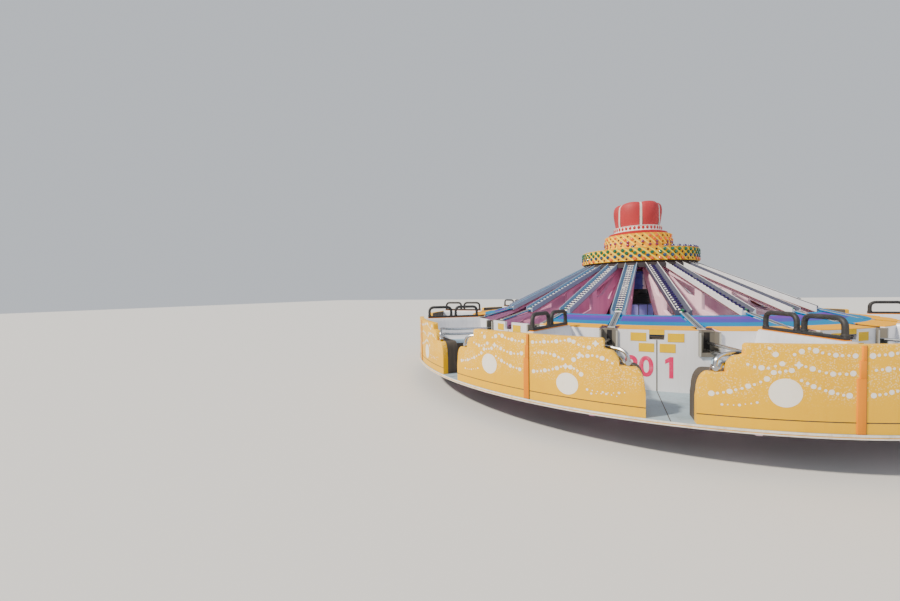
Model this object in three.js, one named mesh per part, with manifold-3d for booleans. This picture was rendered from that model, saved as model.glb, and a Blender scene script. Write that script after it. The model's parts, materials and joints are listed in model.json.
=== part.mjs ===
// Spinning wheel fairground ride: ten back-to-back pairs of two-seat tubs on a turning wheel.
// Millimetres, +Z up, origin on the ground at the wheel's centre.
// Seat-back dividers stand every 36 degrees from +X; the gaps where riders step in lie between them.
import * as THREE from 'three';
import { mergeVertices } from 'three/addons/utils/BufferGeometryUtils.js';
import Module from 'manifold-3d';

const wasm = await Module();
wasm.setup();

// Layout round the wheel, in degrees
const pairCount = 10;
const pairPitch = 360 / pairCount;
const sweepPitch = 18;
const sweepOffset = 9;
const fineSegments = 80;
const ringSegments = 40;
const postSegments = 16;
const drumSegments = 30;

// Heights and radii that everything else follows
const touchGap = 0.3;
const floorTop = 400;
const floorThick = 40;
const floorInner = 3340;
const floorOuter = 4530;
const wallInner = 3380;
const wallOuter = 3420;
const wallTop = 1143;
const panelInner = 4430;
const panelOuter = 4510;
const panelTop = 1150;
const ledgeTop = 885;
const backTop = 1165;

// Band: the panels between the sweeps, a shallow dish that steepens towards the mast
const bandInner = 2640;
const bandLip = wallOuter;
const bandLipTop = 1152;
const bandThick = 12;
const bandRise = 0.04;
const bandSteepen = 0.000145;

// Sweeps: the light channel's top falls by this slope to its lower end, where a lower strip runs on
const sweepInner = 1030;
const sweepInnerTop = 2129.8;
const sweepEnd = 2625;
const sweepSlope = 0.4906;
const channelDeep = 100;
const channelHalf = 100;
const stripWide = 90;
const stripThick = 22;
const stripSlope = 0.285;
const stripFrom = sweepEnd - 30;
const stripFromTop = 1316.5;
const stripTo = 3200;
const webThick = 60;

// Hub and crown
const hubRadius = 470;
const hubTop = 2110;
const hubRingOuter = 560;
const hubRingBottom = 2030;
const crownBottom = 2130;
const lowerDrumTop = 2400;
const upperDrumTop = 2715;
const jewelTop = 2893;

const degrees = Math.PI / 180;

function colour(hex, roughness, metalness) {
  return new THREE.MeshStandardMaterial({ color: hex, roughness, metalness });
}

const finish = {
  groundSteel: () => colour(0x4a4d52, 0.7, 0.3),
  shroudBlue: () => colour(0x3c4080, 0.7, 0.1),
  driveBlack: () => colour(0x1b1b1d, 0.6, 0.4),
  mastNavy: () => colour(0x232a66, 0.55, 0.2),
  hubSteel: () => colour(0x3a3436, 0.6, 0.4),
  sweepPink: () => colour(0xe6a6c4, 0.6, 0.1),
  channelGrey: () => colour(0x6d8aa6, 0.45, 0.4),
  bandPurple: () => colour(0x7a63a8, 0.5, 0.1),
  wallWhite: () => colour(0xe4e4ea, 0.4, 0.0),
  floorWhite: () => colour(0xd5d2c4, 0.7, 0.0),
  tubWhite: () => colour(0xd3d6de, 0.4, 0.0),
  panelYellow: () => colour(0xf3c04b, 0.4, 0.0),
  barChrome: () => colour(0xc9ccd0, 0.2, 0.9),
  crownYellow: () => colour(0xf0bc3c, 0.45, 0.0),
  jewelWhite: () => colour(0xf1ece6, 0.5, 0.0),
  crownRed: () => colour(0xc9565c, 0.6, 0.0),
};

// A closed three.js geometry as a solid, wound so that its volume is positive
function solid(geometry) {
  const bare = geometry.clone();
  bare.deleteAttribute('normal');
  bare.deleteAttribute('uv');
  const merged = mergeVertices(bare, 1e-4);
  const position = merged.attributes.position.array;
  const corners = [];
  let volume = 0;
  for (let i = 0; i < merged.index.count; i += 3) {
    const [a, b, c] = [0, 1, 2].map((k) => merged.index.array[i + k]);
    if (a === b || b === c || a === c) continue;
    corners.push(a, b, c);
    const p = [a, b, c].map((v) => new THREE.Vector3().fromArray(position, 3 * v));
    volume += p[0].dot(p[1].clone().cross(p[2]));
  }
  if (volume < 0) corners.reverse();
  return new wasm.Manifold(new wasm.Mesh({
    numProp: 3,
    vertProperties: new Float32Array(position),
    triVerts: new Uint32Array(corners),
  }));
}

function geometryOf(manifold) {
  const mesh = manifold.getMesh();
  const geometry = new THREE.BufferGeometry();
  geometry.setAttribute('position', new THREE.BufferAttribute(new Float32Array(mesh.vertProperties), 3));
  geometry.setIndex(new THREE.BufferAttribute(new Uint32Array(mesh.triVerts), 1));
  const flat = geometry.toNonIndexed();
  flat.computeVertexNormals();
  return flat;
}

function join(solids) {
  return solids.reduce((whole, next) => whole.add(next));
}

// A solid of revolution about Z from [radius, height] points, with a facet corner at +X
function turned(profile, segments = ringSegments) {
  const points = profile.map(([r, z]) => new THREE.Vector2(r, z));
  const first = points[0];
  if (first.x > 0 || points.at(-1).x > 0) points.push(first.clone());
  const geometry = new THREE.LatheGeometry(points, segments);
  geometry.rotateX(Math.PI / 2);
  return solid(geometry);
}

function counterclockwise(points) {
  const corners = points.map(([x, y]) => new THREE.Vector2(x, y));
  return THREE.ShapeUtils.isClockWise(corners) ? corners.reverse() : corners;
}

function shapeOf(points, holes = []) {
  const shape = new THREE.Shape(counterclockwise(points));
  for (const hole of holes) shape.holes.push(new THREE.Path(counterclockwise(hole)));
  return shape;
}

// An outline in [radius, height], extruded across the radius and centred on it, at angle 0
function radialPlate(points, thickness, holes = []) {
  const geometry = new THREE.ExtrudeGeometry(shapeOf(points, holes), { depth: thickness, bevelEnabled: false });
  geometry.rotateX(Math.PI / 2);
  geometry.translate(0, thickness / 2, 0);
  return solid(geometry);
}

// An outline in [across, height], extruded along the radius between two radii, at angle 0
function radialBar(points, from, to) {
  const geometry = new THREE.ExtrudeGeometry(shapeOf(points), { depth: to - from, bevelEnabled: false });
  geometry.rotateX(Math.PI / 2);
  geometry.rotateZ(Math.PI / 2);
  geometry.translate(from, 0, 0);
  return solid(geometry);
}

// An outline in [across, height above a sloping line], extruded along the radius down that slope
function slopedBar(points, from, to, slope, heightAtCentre) {
  const geometry = new THREE.ExtrudeGeometry(shapeOf(points), { depth: to - from, bevelEnabled: false });
  geometry.rotateX(Math.PI / 2);
  geometry.rotateZ(Math.PI / 2);
  geometry.translate(from, 0, 0);
  geometry.applyMatrix4(new THREE.Matrix4().set(1, 0, 0, 0, 0, 1, 0, 0, -slope, 0, 1, heightAtCentre, 0, 0, 0, 1));
  return solid(geometry);
}

function box(x0, x1, y0, y1, z0, z1) {
  const geometry = new THREE.BoxGeometry(x1 - x0, y1 - y0, z1 - z0);
  geometry.translate((x0 + x1) / 2, (y0 + y1) / 2, (z0 + z1) / 2);
  return solid(geometry);
}

function turn(manifold, angle) {
  return manifold.rotate([0, 0, angle]);
}

function ring(inner, outer, bottom, top, segments = ringSegments) {
  return turned([[inner, bottom], [outer, bottom], [outer, top], [inner, top]], segments);
}

const ride = new THREE.Group();

function add(parent, name, manifold, material, angle = 0) {
  const mesh = new THREE.Mesh(geometryOf(manifold), material);
  mesh.name = name;
  mesh.rotation.z = angle * degrees;
  parent.add(mesh);
  return mesh;
}

function numbered(name, index) {
  return `${name}_${String(index + 1).padStart(2, '0')}`;
}

// Base on the ground: four beams in a cross on foot plates, and the shroud round the mast's foot
const beamLong = 2500;
const beamHalf = 110;
const beamTop = 240;
const footHalf = 260;
const footThick = 25;
const shroudRadius = 330;
const shroudTop = 1340;

function baseFrame() {
  const parts = [turned([[0, 0], [620, 0], [620, beamTop - 60], [0, beamTop - 60]], postSegments)];
  for (let k = 0; k < 4; k += 1) {
    parts.push(turn(box(0, beamLong, -beamHalf, beamHalf, footThick - 1, beamTop), 45 + 90 * k));
    parts.push(turn(box(beamLong - footHalf, beamLong + footHalf, -footHalf, footHalf, 0, footThick), 45 + 90 * k));
  }
  return join(parts);
}

function shroud() {
  return turned([
    [0, beamTop + touchGap], [430, beamTop + touchGap], [430, beamTop + 40],
    [shroudRadius, beamTop + 40], [shroudRadius, shroudTop], [0, shroudTop],
  ], postSegments);
}

// Mast with its bearing flange, and the black drive unit round its foot
const mastRadius = 100;
const driveInner = mastRadius + touchGap;
const driveOuter = 230;
const driveTop = 1640;
const bearingBottom = 1960;
const bearingTop = 2000;

function mast() {
  return turned([
    [0, shroudTop + touchGap], [mastRadius, shroudTop + touchGap], [mastRadius, bearingBottom],
    [180, bearingBottom], [180, bearingTop], [0, bearingTop],
  ], postSegments);
}

function driveUnit() {
  return turned([
    [driveInner + 2, shroudTop + touchGap], [driveOuter, shroudTop + touchGap], [driveOuter, driveTop - 110],
    [driveOuter - 50, driveTop - 90], [driveOuter - 50, driveTop], [driveInner + 2, driveTop],
  ], postSegments);
}

function hub() {
  const underside = bearingTop + 0.5;
  return turned([
    [0, underside], [180, underside], [180, 2050], [hubRadius, 2050],
    [hubRadius, hubTop], [900, hubTop], [900, crownBottom], [0, crownBottom],
  ]);
}

// Sweep frames: a welded triangular web under each light channel, five to a quarter of the hub ring
function sweepTop(r) {
  return sweepInnerTop - sweepSlope * (r - sweepInner);
}

function stripTop(r) {
  return stripFromTop - stripSlope * (r - stripFrom);
}

function bandTop(r) {
  const inward = bandLip - r;
  return bandLipTop + bandRise * inward + bandSteepen * inward ** 2;
}

// The lock box's cover lies flat on the web's outer end, under the strip's lower end
const coverFrom = stripTo - 5;
const coverTop = 1130;
const coverThick = 18;
const webBreak = sweepEnd + 2;
const webEnd = 3320;
const outriggerEnd = 4440;
const webTopInner = 2105;

function webTop(r) {
  return sweepTop(r) - channelDeep - touchGap;
}

function sweepWeb() {
  const flatEnd = sweepInner + (sweepInnerTop - channelDeep - touchGap - webTopInner) / sweepSlope;
  const underCover = coverTop - coverThick - touchGap;
  const underFloor = floorTop - floorThick - touchGap;
  const outline = [
    [500, webTopInner], [flatEnd, webTopInner], [webBreak, webTop(webBreak)], [coverFrom, underCover],
    [webEnd, underCover], [webEnd, underFloor], [outriggerEnd, underFloor],
    [outriggerEnd, 320], [3400, 270], [2230, 270], [500, 2035],
  ];
  const upperOpening = [[960, 1930], [1440, 1560], [1660, 1500], [1660, 1640]];
  const innerSlit = [[860, 1785], [1300, 1490], [1200, 1445]];
  const outerOpening = [[1810, 1580], [2640, 1175], [3200, 985], [3200, 900], [1810, 1300]];
  const endOpening = [[1991, 1148], [3200, 800], [3200, 456]];
  const lowerOpening = [[1810, 1148], [1810, 831], [2261, 380], [3144, 380]];
  return radialPlate(outline, webThick, [upperOpening, innerSlit, outerOpening, endOpening, lowerOpening]);
}

function quarter(whole) {
  return whole.intersect(box(0.2, floorOuter, 0.2, floorOuter, 0, 4000));
}

function sweepFrame() {
  const web = sweepWeb();
  const parts = [quarter(ring(hubRadius + touchGap, hubRingOuter, hubRingBottom, webTopInner))];
  for (let k = 0; k < 5; k += 1) parts.push(turn(web, sweepOffset + sweepPitch * k));
  return join(parts);
}

// Light channels: open boxes on the webs, each with a strip that runs on to the lap bar's lock box
const boxHalf = 109;
const boxBottom = 842;
const boxTop = 1132;
const boxBack = 3335;
const boxPlateBack = 3426;
const boxFront = 3445;
const pocketHalf = 80;
const pocketBottom = 888;
const pocketBack = 3350;

function lightChannel() {
  const recess = channelDeep / 2;
  const channel = slopedBar([
    [-channelHalf, 0], [-90, 0], [-44, -recess], [44, -recess], [90, 0], [channelHalf, 0],
    [channelHalf, -channelDeep], [-channelHalf, -channelDeep],
  ], sweepInner, sweepEnd, sweepSlope, sweepTop(0));
  const strip = radialPlate([
    [stripFrom, stripTop(stripFrom)], [stripTo, stripTop(stripTo)],
    [stripTo, stripTop(stripTo) - stripThick], [stripFrom, stripTop(stripFrom) - stripThick],
  ], stripWide);
  const cover = box(coverFrom, boxBack + 1, 2 - boxHalf, boxHalf - 2, coverTop - coverThick, coverTop);
  const shell = box(boxBack, boxPlateBack + 1, 2 - boxHalf, boxHalf - 2, boxBottom + 2, coverTop);
  const plate = box(boxPlateBack, boxFront, -boxHalf, boxHalf, boxBottom, boxTop);
  const pocket = box(pocketBack, boxFront + 5, -pocketHalf, pocketHalf, pocketBottom, boxTop + 20);
  return join([channel, strip, cover, shell, plate]).subtract(pocket);
}

function channelQuarter() {
  const channel = lightChannel();
  const collarOuter = sweepInner + 45;
  const collar = ring(sweepInner, collarOuter, sweepTop(sweepInner) - channelDeep + 5, sweepTop(collarOuter) - 1);
  const parts = [quarter(collar)];
  for (let k = 0; k < 5; k += 1) parts.push(turn(channel, sweepOffset + sweepPitch * k));
  return join(parts);
}

// The band is slotted for each strip, cut back round each lock box, and two of its panels are missing
const slotHalf = stripWide / 2 + 5;
const slotFrom = 2700;
const missingFrom = 207;
const missingTo = 243;

function wedge(from, to, reach, bottom, top) {
  const edge = (angle) => [reach * Math.cos(angle * degrees), reach * Math.sin(angle * degrees)];
  const geometry = new THREE.ExtrudeGeometry(
    shapeOf([[0, 0], edge(from), edge(to)]),
    { depth: top - bottom, bevelEnabled: false },
  );
  geometry.translate(0, 0, bottom);
  return solid(geometry);
}

function band() {
  const stations = [bandInner, 2770, 2900, 3125];
  let panels = turned([
    ...stations.map((r) => [r, bandTop(r) - bandThick]), [bandLip, wallTop + touchGap],
    [bandLip, bandLipTop], ...stations.toReversed().map((r) => [r, bandTop(r)]),
  ]);
  const slot = box(slotFrom, bandLip + 20, -slotHalf, slotHalf, 1100, 1400);
  const gate = box(coverFrom - 10, bandLip + 20, -boxHalf - 4, boxHalf + 4, 1100, 1400);
  const cut = slot.add(gate);
  for (let k = 0; k < 20; k += 1) panels = panels.subtract(turn(cut, sweepOffset + sweepPitch * k));
  return panels.subtract(wedge(missingFrom, missingTo, 5000, 1000, 1500));
}

// Wall: white ring behind the seats, notched at the gaps and open where each lock box passes through
const notchHalf = 82;
const notchDeep = 120;

function wall() {
  let whole = ring(wallInner, wallOuter, floorTop + touchGap, wallTop);
  const boxGate = box(wallInner - 50, wallOuter + 50, -boxHalf, boxHalf, boxBottom, wallTop + 10);
  const notch = box(wallInner - 50, wallOuter + 50, -notchHalf, notchHalf, wallTop - notchDeep, wallTop + 10);
  for (let k = 0; k < 20; k += 1) whole = whole.subtract(turn(boxGate, sweepOffset + sweepPitch * k));
  for (let k = 0; k < pairCount; k += 1) whole = whole.subtract(turn(notch, pairPitch * (k + 0.5)));
  return whole;
}

function floorRing() {
  return ring(floorInner, floorOuter, floorTop - floorThick, floorTop);
}

// Seat pair: two benches back to back, their shared back, and two padded hoops on top of it
const seatFront = 520;
const seatTop = 830;
const hoopTube = 50;
const hoopTop = 1386;

function hoop(from, to) {
  const corner = 70;
  const outer = new THREE.Shape();
  outer.moveTo(from, backTop - 2);
  outer.lineTo(to, backTop - 2);
  outer.lineTo(to, hoopTop - corner);
  outer.lineTo(to - corner * 0.3, hoopTop - corner * 0.3);
  outer.lineTo(to - corner, hoopTop);
  outer.lineTo(from + corner, hoopTop);
  outer.lineTo(from + corner * 0.3, hoopTop - corner * 0.3);
  outer.lineTo(from, hoopTop - corner);
  outer.holes.push(new THREE.Path([
    [from + hoopTube, backTop + hoopTube - 10], [from + hoopTube, hoopTop - corner], [from + corner, hoopTop - hoopTube],
    [to - corner, hoopTop - hoopTube], [to - hoopTube, hoopTop - corner], [to - hoopTube, backTop + hoopTube - 10],
  ].map(([x, y]) => new THREE.Vector2(x, y))));
  const geometry = new THREE.ExtrudeGeometry(outer, { depth: hoopTube, bevelEnabled: false });
  geometry.rotateX(Math.PI / 2);
  geometry.translate(0, hoopTube / 2, 0);
  return solid(geometry);
}

function seatPair() {
  const half = [
    [seatFront - 25, floorTop + touchGap], [seatFront, seatTop - 40], [seatFront - 40, seatTop],
    [200, seatTop - 35], [105, seatTop], [45, backTop],
  ];
  const section = [...half, ...half.toReversed().map(([y, z]) => [-y, z])];
  const insidePanel = ring(2000, panelInner - touchGap, 0, 2000, fineSegments);
  const outsideWall = ring(wallOuter + touchGap, panelOuter, 0, 2000);
  const benches = radialBar(section, wallInner - 60, panelOuter).intersect(insidePanel).intersect(outsideWall);
  return join([benches, hoop(3445, 3900), hoop(3935, 4390)]);
}

// Outer panel: a curved shell with two steps down at each end, where a box lines it, and a lug on
// each ledge for a lap bar
const panelHalfAngle = 15.4;
const liningFrom = 7.3;
const liningInner = 4250;
const shoulderTop = 1040;
const pivotAngle = 13.5;
const pivotHeight = 915;
const lugThick = 14;
const pivotRadius = (panelInner + panelOuter) / 2;
const crossbarAngle = 9;

// The lap bar turns about a line along the crossbar's radius, through the pivot on the ledge
const pivotOffset = pivotRadius * Math.sin((pivotAngle - crossbarAngle) * degrees);
const pivotAlong = pivotRadius * Math.cos((pivotAngle - crossbarAngle) * degrees);

function octagon(radius, centreY, centreZ) {
  return Array.from({ length: 8 }, (_, k) => [
    centreY + radius * Math.cos((k + 0.5) * 45 * degrees),
    centreZ + radius * Math.sin((k + 0.5) * 45 * degrees),
  ]);
}

function lug() {
  const plate = radialBar([
    [pivotOffset - 30, ledgeTop - 15], [pivotOffset + 30, ledgeTop - 15], [pivotOffset + 22, pivotHeight + 24],
    [pivotOffset - 22, pivotHeight + 24],
  ], pivotAlong - 25 - lugThick, pivotAlong - 25);
  const bore = radialBar(octagon(13.2, pivotOffset, pivotHeight), pivotAlong - 60, pivotAlong);
  return turn(plate.subtract(bore), crossbarAngle);
}

// Points on the upper right quarter of an ellipse, from its top to its right end
function quarterArc(centreX, centreY, halfWide, halfHigh) {
  return Array.from({ length: 5 }, (_, k) => [
    centreX + halfWide * Math.sin(k * 22.5 * degrees),
    centreY + halfHigh * Math.cos(k * 22.5 * degrees),
  ]);
}

function panel() {
  const shell = ring(panelInner, panelOuter, floorTop + touchGap, panelTop, fineSegments)
    .intersect(wedge(-panelHalfAngle, panelHalfAngle, 5000, 0, 2000));
  const lining = ring(liningInner, panelInner + 1, floorTop + touchGap, ledgeTop, fineSegments)
    .intersect(wedge(liningFrom, panelHalfAngle, 5000, 0, 2000));
  const across = (angle) => panelOuter * Math.sin((angle - pivotAngle) * degrees);
  const cutter = turn(radialBar([
    [across(10.7), panelTop + 50], [across(10.7), shoulderTop],
    ...quarterArc(across(11.1), shoulderTop - 140, across(12.5) - across(11.1), 140), [across(12.5), ledgeTop],
    ...quarterArc(across(14.1), ledgeTop - 185, across(15.3) - across(14.1), 185),
    [across(19), ledgeTop - 185], [across(19), panelTop + 50],
  ], liningInner - 100, panelOuter + 100), pivotAngle);
  const whole = shell.add(lining).add(lining.mirror([0, 1, 0]));
  const rightEnd = whole.subtract(cutter).add(lug());
  return rightEnd.subtract(cutter.mirror([0, 1, 0])).add(lug().mirror([0, 1, 0]));
}

// Lap bar: two tubes over the laps, bent forward and down at their outer end to the pivot on the ledge
const barRadius = 21;
const barHeight = 1000;
const lowerBarHeight = 915;
const barInnerEnd = 3368;

function bentTube(route, steps) {
  const curve = new THREE.CatmullRomCurve3(route.map(([x, y, z]) => new THREE.Vector3(x, y, z)), false, 'centripetal');
  const section = new THREE.Shape(Array.from({ length: 6 }, (_, k) => new THREE.Vector2(
    barRadius * Math.cos(k * 60 * degrees),
    barRadius * Math.sin(k * 60 * degrees),
  )));
  return solid(new THREE.ExtrudeGeometry(section, { steps, bevelEnabled: false, extrudePath: curve }));
}

function lapBar() {
  const upper = bentTube([
    [barInnerEnd, 0, barHeight], [4180, 0, barHeight + 25], [4310, 30, barHeight + 42],
    [4372, 120, barHeight + 50], [4408, 215, barHeight + 46], [4440, 298, barHeight + 30],
    [pivotAlong + 3, pivotOffset - 8, 985], [pivotAlong + 3, pivotOffset, pivotHeight - 6],
  ], 11);
  const lower = bentTube([
    [barInnerEnd, 0, lowerBarHeight], [4160, 0, lowerBarHeight + 25], [4288, 26, lowerBarHeight + 38],
    [4346, 105, lowerBarHeight + 42], [4378, 190, lowerBarHeight + 44], [4392, 262, lowerBarHeight + 48],
    [4425, 318, lowerBarHeight + 52], [pivotAlong, pivotOffset - 5, lowerBarHeight + 52],
  ], 10);
  const eye = radialBar(octagon(26, pivotOffset, pivotHeight), pivotAlong - 24, pivotAlong + 22);
  const pin = radialBar(octagon(11.9, pivotOffset, pivotHeight), pivotAlong - 44, pivotAlong - 20);
  return join([upper, lower, eye, pin]);
}

// Crown: two lattice drums, the jewelled band with its trim, and the puffed cap
function lowerDrum() {
  return turned([
    [0, crownBottom + touchGap], [1028, crownBottom + touchGap], [1055, 2158], [1055, lowerDrumTop],
    [0, lowerDrumTop],
  ], drumSegments);
}

function upperDrum() {
  return turned([
    [0, lowerDrumTop + touchGap], [615, lowerDrumTop + touchGap], [615, upperDrumTop], [0, upperDrumTop],
  ], drumSegments);
}

function jewelBand() {
  return turned([
    [0, upperDrumTop + touchGap], [540, upperDrumTop + touchGap], [540, 2770], [443, 2792], [443, jewelTop],
    [0, jewelTop],
  ], drumSegments);
}

// The cap puffs out in six lobes between its ribs, and its rim dips at each rib
const lobeCount = 6;
const ribAngle = 35.7;
const lobeDepth = 0.09;
const ribDip = 22;

function crownCap() {
  const profile = [
    [0, jewelTop + touchGap], [398, jewelTop + touchGap], [425, 3020], [448, 3195], [436, 3310],
    [390, 3372], [300, 3384], [170, 3337], [0, 3307],
  ].map(([r, z]) => new THREE.Vector2(r, z));
  const geometry = new THREE.LatheGeometry(profile, 8 * lobeCount);
  geometry.rotateX(Math.PI / 2);
  const position = geometry.attributes.position;
  for (let i = 0; i < position.count; i += 1) {
    const angle = Math.atan2(position.getY(i), position.getX(i)) - ribAngle * degrees;
    const swell = Math.abs(Math.sin(angle * lobeCount / 2)) ** 0.7;
    const high = THREE.MathUtils.smoothstep(position.getZ(i), jewelTop, 3230);
    const puff = 1 - lobeDepth * high * (1 - swell);
    position.setX(i, position.getX(i) * puff);
    position.setY(i, position.getY(i) * puff);
    if (position.getZ(i) > 3310) position.setZ(i, position.getZ(i) - ribDip * (1 - swell));
  }
  return solid(geometry);
}

add(ride, 'base_frame', baseFrame(), finish.groundSteel());
add(ride, 'mast_shroud', shroud(), finish.shroudBlue());
add(ride, 'mast', mast(), finish.mastNavy());
add(ride, 'drive_unit', driveUnit(), finish.driveBlack());

const wheel = new THREE.Group();
ride.add(wheel);
add(wheel, 'wheel_hub', hub(), finish.hubSteel());
const frameSolid = sweepFrame();
const channelSolid = channelQuarter();
for (let k = 0; k < 4; k += 1) {
  add(wheel, numbered('sweep_frame', k), frameSolid, finish.sweepPink(), 90 * k);
  add(wheel, numbered('light_channels', k), channelSolid, finish.channelGrey(), 90 * k);
}
add(wheel, 'striped_band', band(), finish.bandPurple());
add(wheel, 'inner_wall', wall(), finish.wallWhite());
add(wheel, 'floor_ring', floorRing(), finish.floorWhite());
const seatSolid = seatPair();
const panelSolid = panel();
const barSolid = lapBar();
for (let k = 0; k < pairCount; k += 1) {
  const divider = pairPitch * k;
  add(wheel, numbered('seat_pair', k), seatSolid, finish.tubWhite(), divider);
  add(wheel, numbered('outer_panel', k), panelSolid, finish.panelYellow(), divider);
  add(wheel, numbered('lap_bar', 2 * k), barSolid, finish.barChrome(), divider + crossbarAngle);
  add(wheel, numbered('lap_bar', 2 * k + 1), barSolid.mirror([0, 1, 0]), finish.barChrome(), divider - crossbarAngle);
}
add(wheel, 'crown_lower_drum', lowerDrum(), finish.crownYellow());
add(wheel, 'crown_upper_drum', upperDrum(), finish.crownYellow());
add(wheel, 'jewel_band', jewelBand(), finish.jewelWhite());
add(wheel, 'crown_cap', crownCap(), finish.crownRed());

export default ride;
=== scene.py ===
import json
from math import atan, atan2, asin, copysign, cos, hypot, pi, radians, sin, sqrt, tau
from random import Random

import bmesh
import bpy
from mathutils import Matrix, Vector

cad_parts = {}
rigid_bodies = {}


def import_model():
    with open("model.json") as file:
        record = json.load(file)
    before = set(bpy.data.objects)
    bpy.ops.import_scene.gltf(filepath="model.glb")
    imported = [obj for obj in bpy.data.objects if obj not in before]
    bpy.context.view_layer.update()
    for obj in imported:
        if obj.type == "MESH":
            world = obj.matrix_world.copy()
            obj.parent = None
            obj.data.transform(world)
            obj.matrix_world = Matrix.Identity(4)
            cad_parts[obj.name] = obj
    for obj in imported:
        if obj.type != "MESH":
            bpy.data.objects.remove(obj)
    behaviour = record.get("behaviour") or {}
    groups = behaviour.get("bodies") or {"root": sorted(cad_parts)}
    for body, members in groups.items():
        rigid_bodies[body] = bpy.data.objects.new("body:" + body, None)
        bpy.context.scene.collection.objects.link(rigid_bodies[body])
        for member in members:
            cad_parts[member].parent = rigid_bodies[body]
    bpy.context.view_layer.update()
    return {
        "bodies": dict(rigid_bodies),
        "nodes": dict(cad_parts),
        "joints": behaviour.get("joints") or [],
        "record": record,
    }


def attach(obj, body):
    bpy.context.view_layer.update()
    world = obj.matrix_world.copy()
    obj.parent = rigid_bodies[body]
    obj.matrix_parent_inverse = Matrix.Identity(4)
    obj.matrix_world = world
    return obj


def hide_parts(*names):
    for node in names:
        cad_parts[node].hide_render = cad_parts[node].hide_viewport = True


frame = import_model()
scene = bpy.context.scene

# The wheel's layout in metres and degrees, as the solids have it
pairs, pairPitch, sweeps, sweepPitch, sweepOffset = 10, 36, 20, 18, 9
floorTop, floorBottom, floorInner, floorOuter = 0.400, 0.360, 3.340, 4.530
wallInner, wallOuter, wallTop = 3.380, 3.420, 1.143
panelInner, panelOuter, panelTop, shoulderTop, ledgeTop = 4.430, 4.510, 1.150, 1.040, 0.885
backTop = 1.165
sweepInner, sweepInnerTop, sweepEnd, sweepSlope = 1.030, 2.1298, 2.625, 0.4906
channelDeep, troughDeep = 0.100, 0.050
stripFrom, stripFromTop, stripTo, stripSlope, stripThick = 2.595, 1.3165, 3.200, 0.285, 0.022
coverTop, coverThick, coverFrom = 1.130, 0.018, 3.195
boxHalf, boxBottom, boxTop, boxFront = 0.109, 0.842, 1.132, 3.445
slotFrom, slotHalf, gateFrom = 2.700, 0.050, 3.185
pivotRadius, pivotHeight, pivotAngle, barAngle = 4.470, 0.915, 13.5, 9
pivotAlong = pivotRadius * cos(radians(pivotAngle - barAngle))
pivotAcross = pivotRadius * sin(radians(pivotAngle - barAngle))
hair = 0.0003


def sweepTop(radius):
    return sweepInnerTop - sweepSlope * (radius - sweepInner)


def stripTop(radius):
    return stripFromTop - stripSlope * (radius - stripFrom)


def at(x, y=0.0, z=0.0):
    return Matrix.Translation((x, y, z))


def turnedBy(angle):
    return Matrix.Rotation(radians(angle), 4, "Z")


def scaledBy(x, y, z):
    return Matrix.Diagonal((x, y, z, 1))


upright, sideways = Matrix.Rotation(radians(90), 4, "X"), Matrix.Rotation(radians(90), 4, "Y")


# Mesh helpers. A flat outline is [x, z]; y is depth, and wrapRound bends x into an arc.

def facedOut(bm):
    bmesh.ops.recalc_face_normals(bm, faces=bm.faces[:])
    return bm


def welded(bm, reach=0.00005):
    bmesh.ops.remove_doubles(bm, verts=bm.verts[:], dist=reach)
    return bm


def tint(bm, index):
    for face in bm.faces:
        face.material_index = index
    return bm


def paintFaces(bm, choose):
    # choose gives a face's material index from its centre and its normal
    for face in bm.faces:
        face.material_index = choose(face.calc_center_median(), face.normal)
    return bm


def turned(profile, steps=96):
    bm = bmesh.new()
    corners = [bm.verts.new((r, 0, z)) for r, z in profile]
    edges = [bm.edges.new(pair) for pair in zip(corners, corners[1:])]
    if profile[0][0] > 0:
        edges.append(bm.edges.new((corners[-1], corners[0])))
    bmesh.ops.spin(bm, geom=corners + edges, axis=(0, 0, 1), cent=(0, 0, 0), steps=steps, angle=tau,
                   use_merge=True)
    return facedOut(welded(bm))


def pushedOut(bm, faces):
    made = bmesh.ops.extrude_face_region(bm, geom=faces)
    return [part for part in made["geom"] if isinstance(part, bmesh.types.BMVert)]


def bar(points, push):
    bm = bmesh.new()
    face = bm.faces.new([bm.verts.new(point) for point in points])
    bmesh.ops.translate(bm, vec=push, verts=pushedOut(bm, [face]))
    return bm


def slab(outline, depth, front=0.0):
    return facedOut(bar([(x, front, z) for x, z in outline], (0, -depth, 0)))


def rectangle(left, low, right, high):
    return [(left, low), (right, low), (right, high), (left, high)]


def bothHalves(right):
    return [*right, *[(-x, z) for x, z in reversed(right)]]


def softenEdges(bm, edges, width, steps=2):
    bmesh.ops.bevel(bm, geom=edges, offset=width, segments=steps, affect="EDGES", profile=0.5, material=-1,
                    clamp_overlap=True)


def block(low, high, edge=0.0, steps=2):
    bm = bmesh.new()
    middle = [(a + b) / 2 for a, b in zip(low, high)]
    bmesh.ops.create_cube(bm, size=1, matrix=at(*middle) @ scaledBy(*[b - a for a, b in zip(low, high)]))
    if edge:
        softenEdges(bm, bm.edges[:], edge, steps)
    return bm


def cut(bm, place, normal):
    bmesh.ops.bisect_plane(bm, geom=bm.verts[:] + bm.edges[:] + bm.faces[:], plane_co=place, plane_no=normal,
                           dist=0.0002)


def cutColumns(bm, step, reach):
    count = int(reach / step)
    for k in range(-count, count + 1):
        cut(bm, (k * step, 0, 0), (1, 0, 0))


def wrapRound(bm, radius, angle=0.0, step=0.0, reach=0.0):
    # Flat faces are cut in columns first where a step is given, so that they bend
    if step:
        cutColumns(bm, step, reach)
    for corner in bm.verts:
        along, out = corner.co.x / radius + radians(angle), radius + corner.co.y
        corner.co = (out * cos(along), out * sin(along), corner.co.z)
    return facedOut(bm)


def placed(bm, matrix):
    bmesh.ops.transform(bm, matrix=matrix, verts=bm.verts[:])
    if matrix.determinant() < 0:
        bmesh.ops.reverse_faces(bm, faces=bm.faces[:])
    return bm


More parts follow.
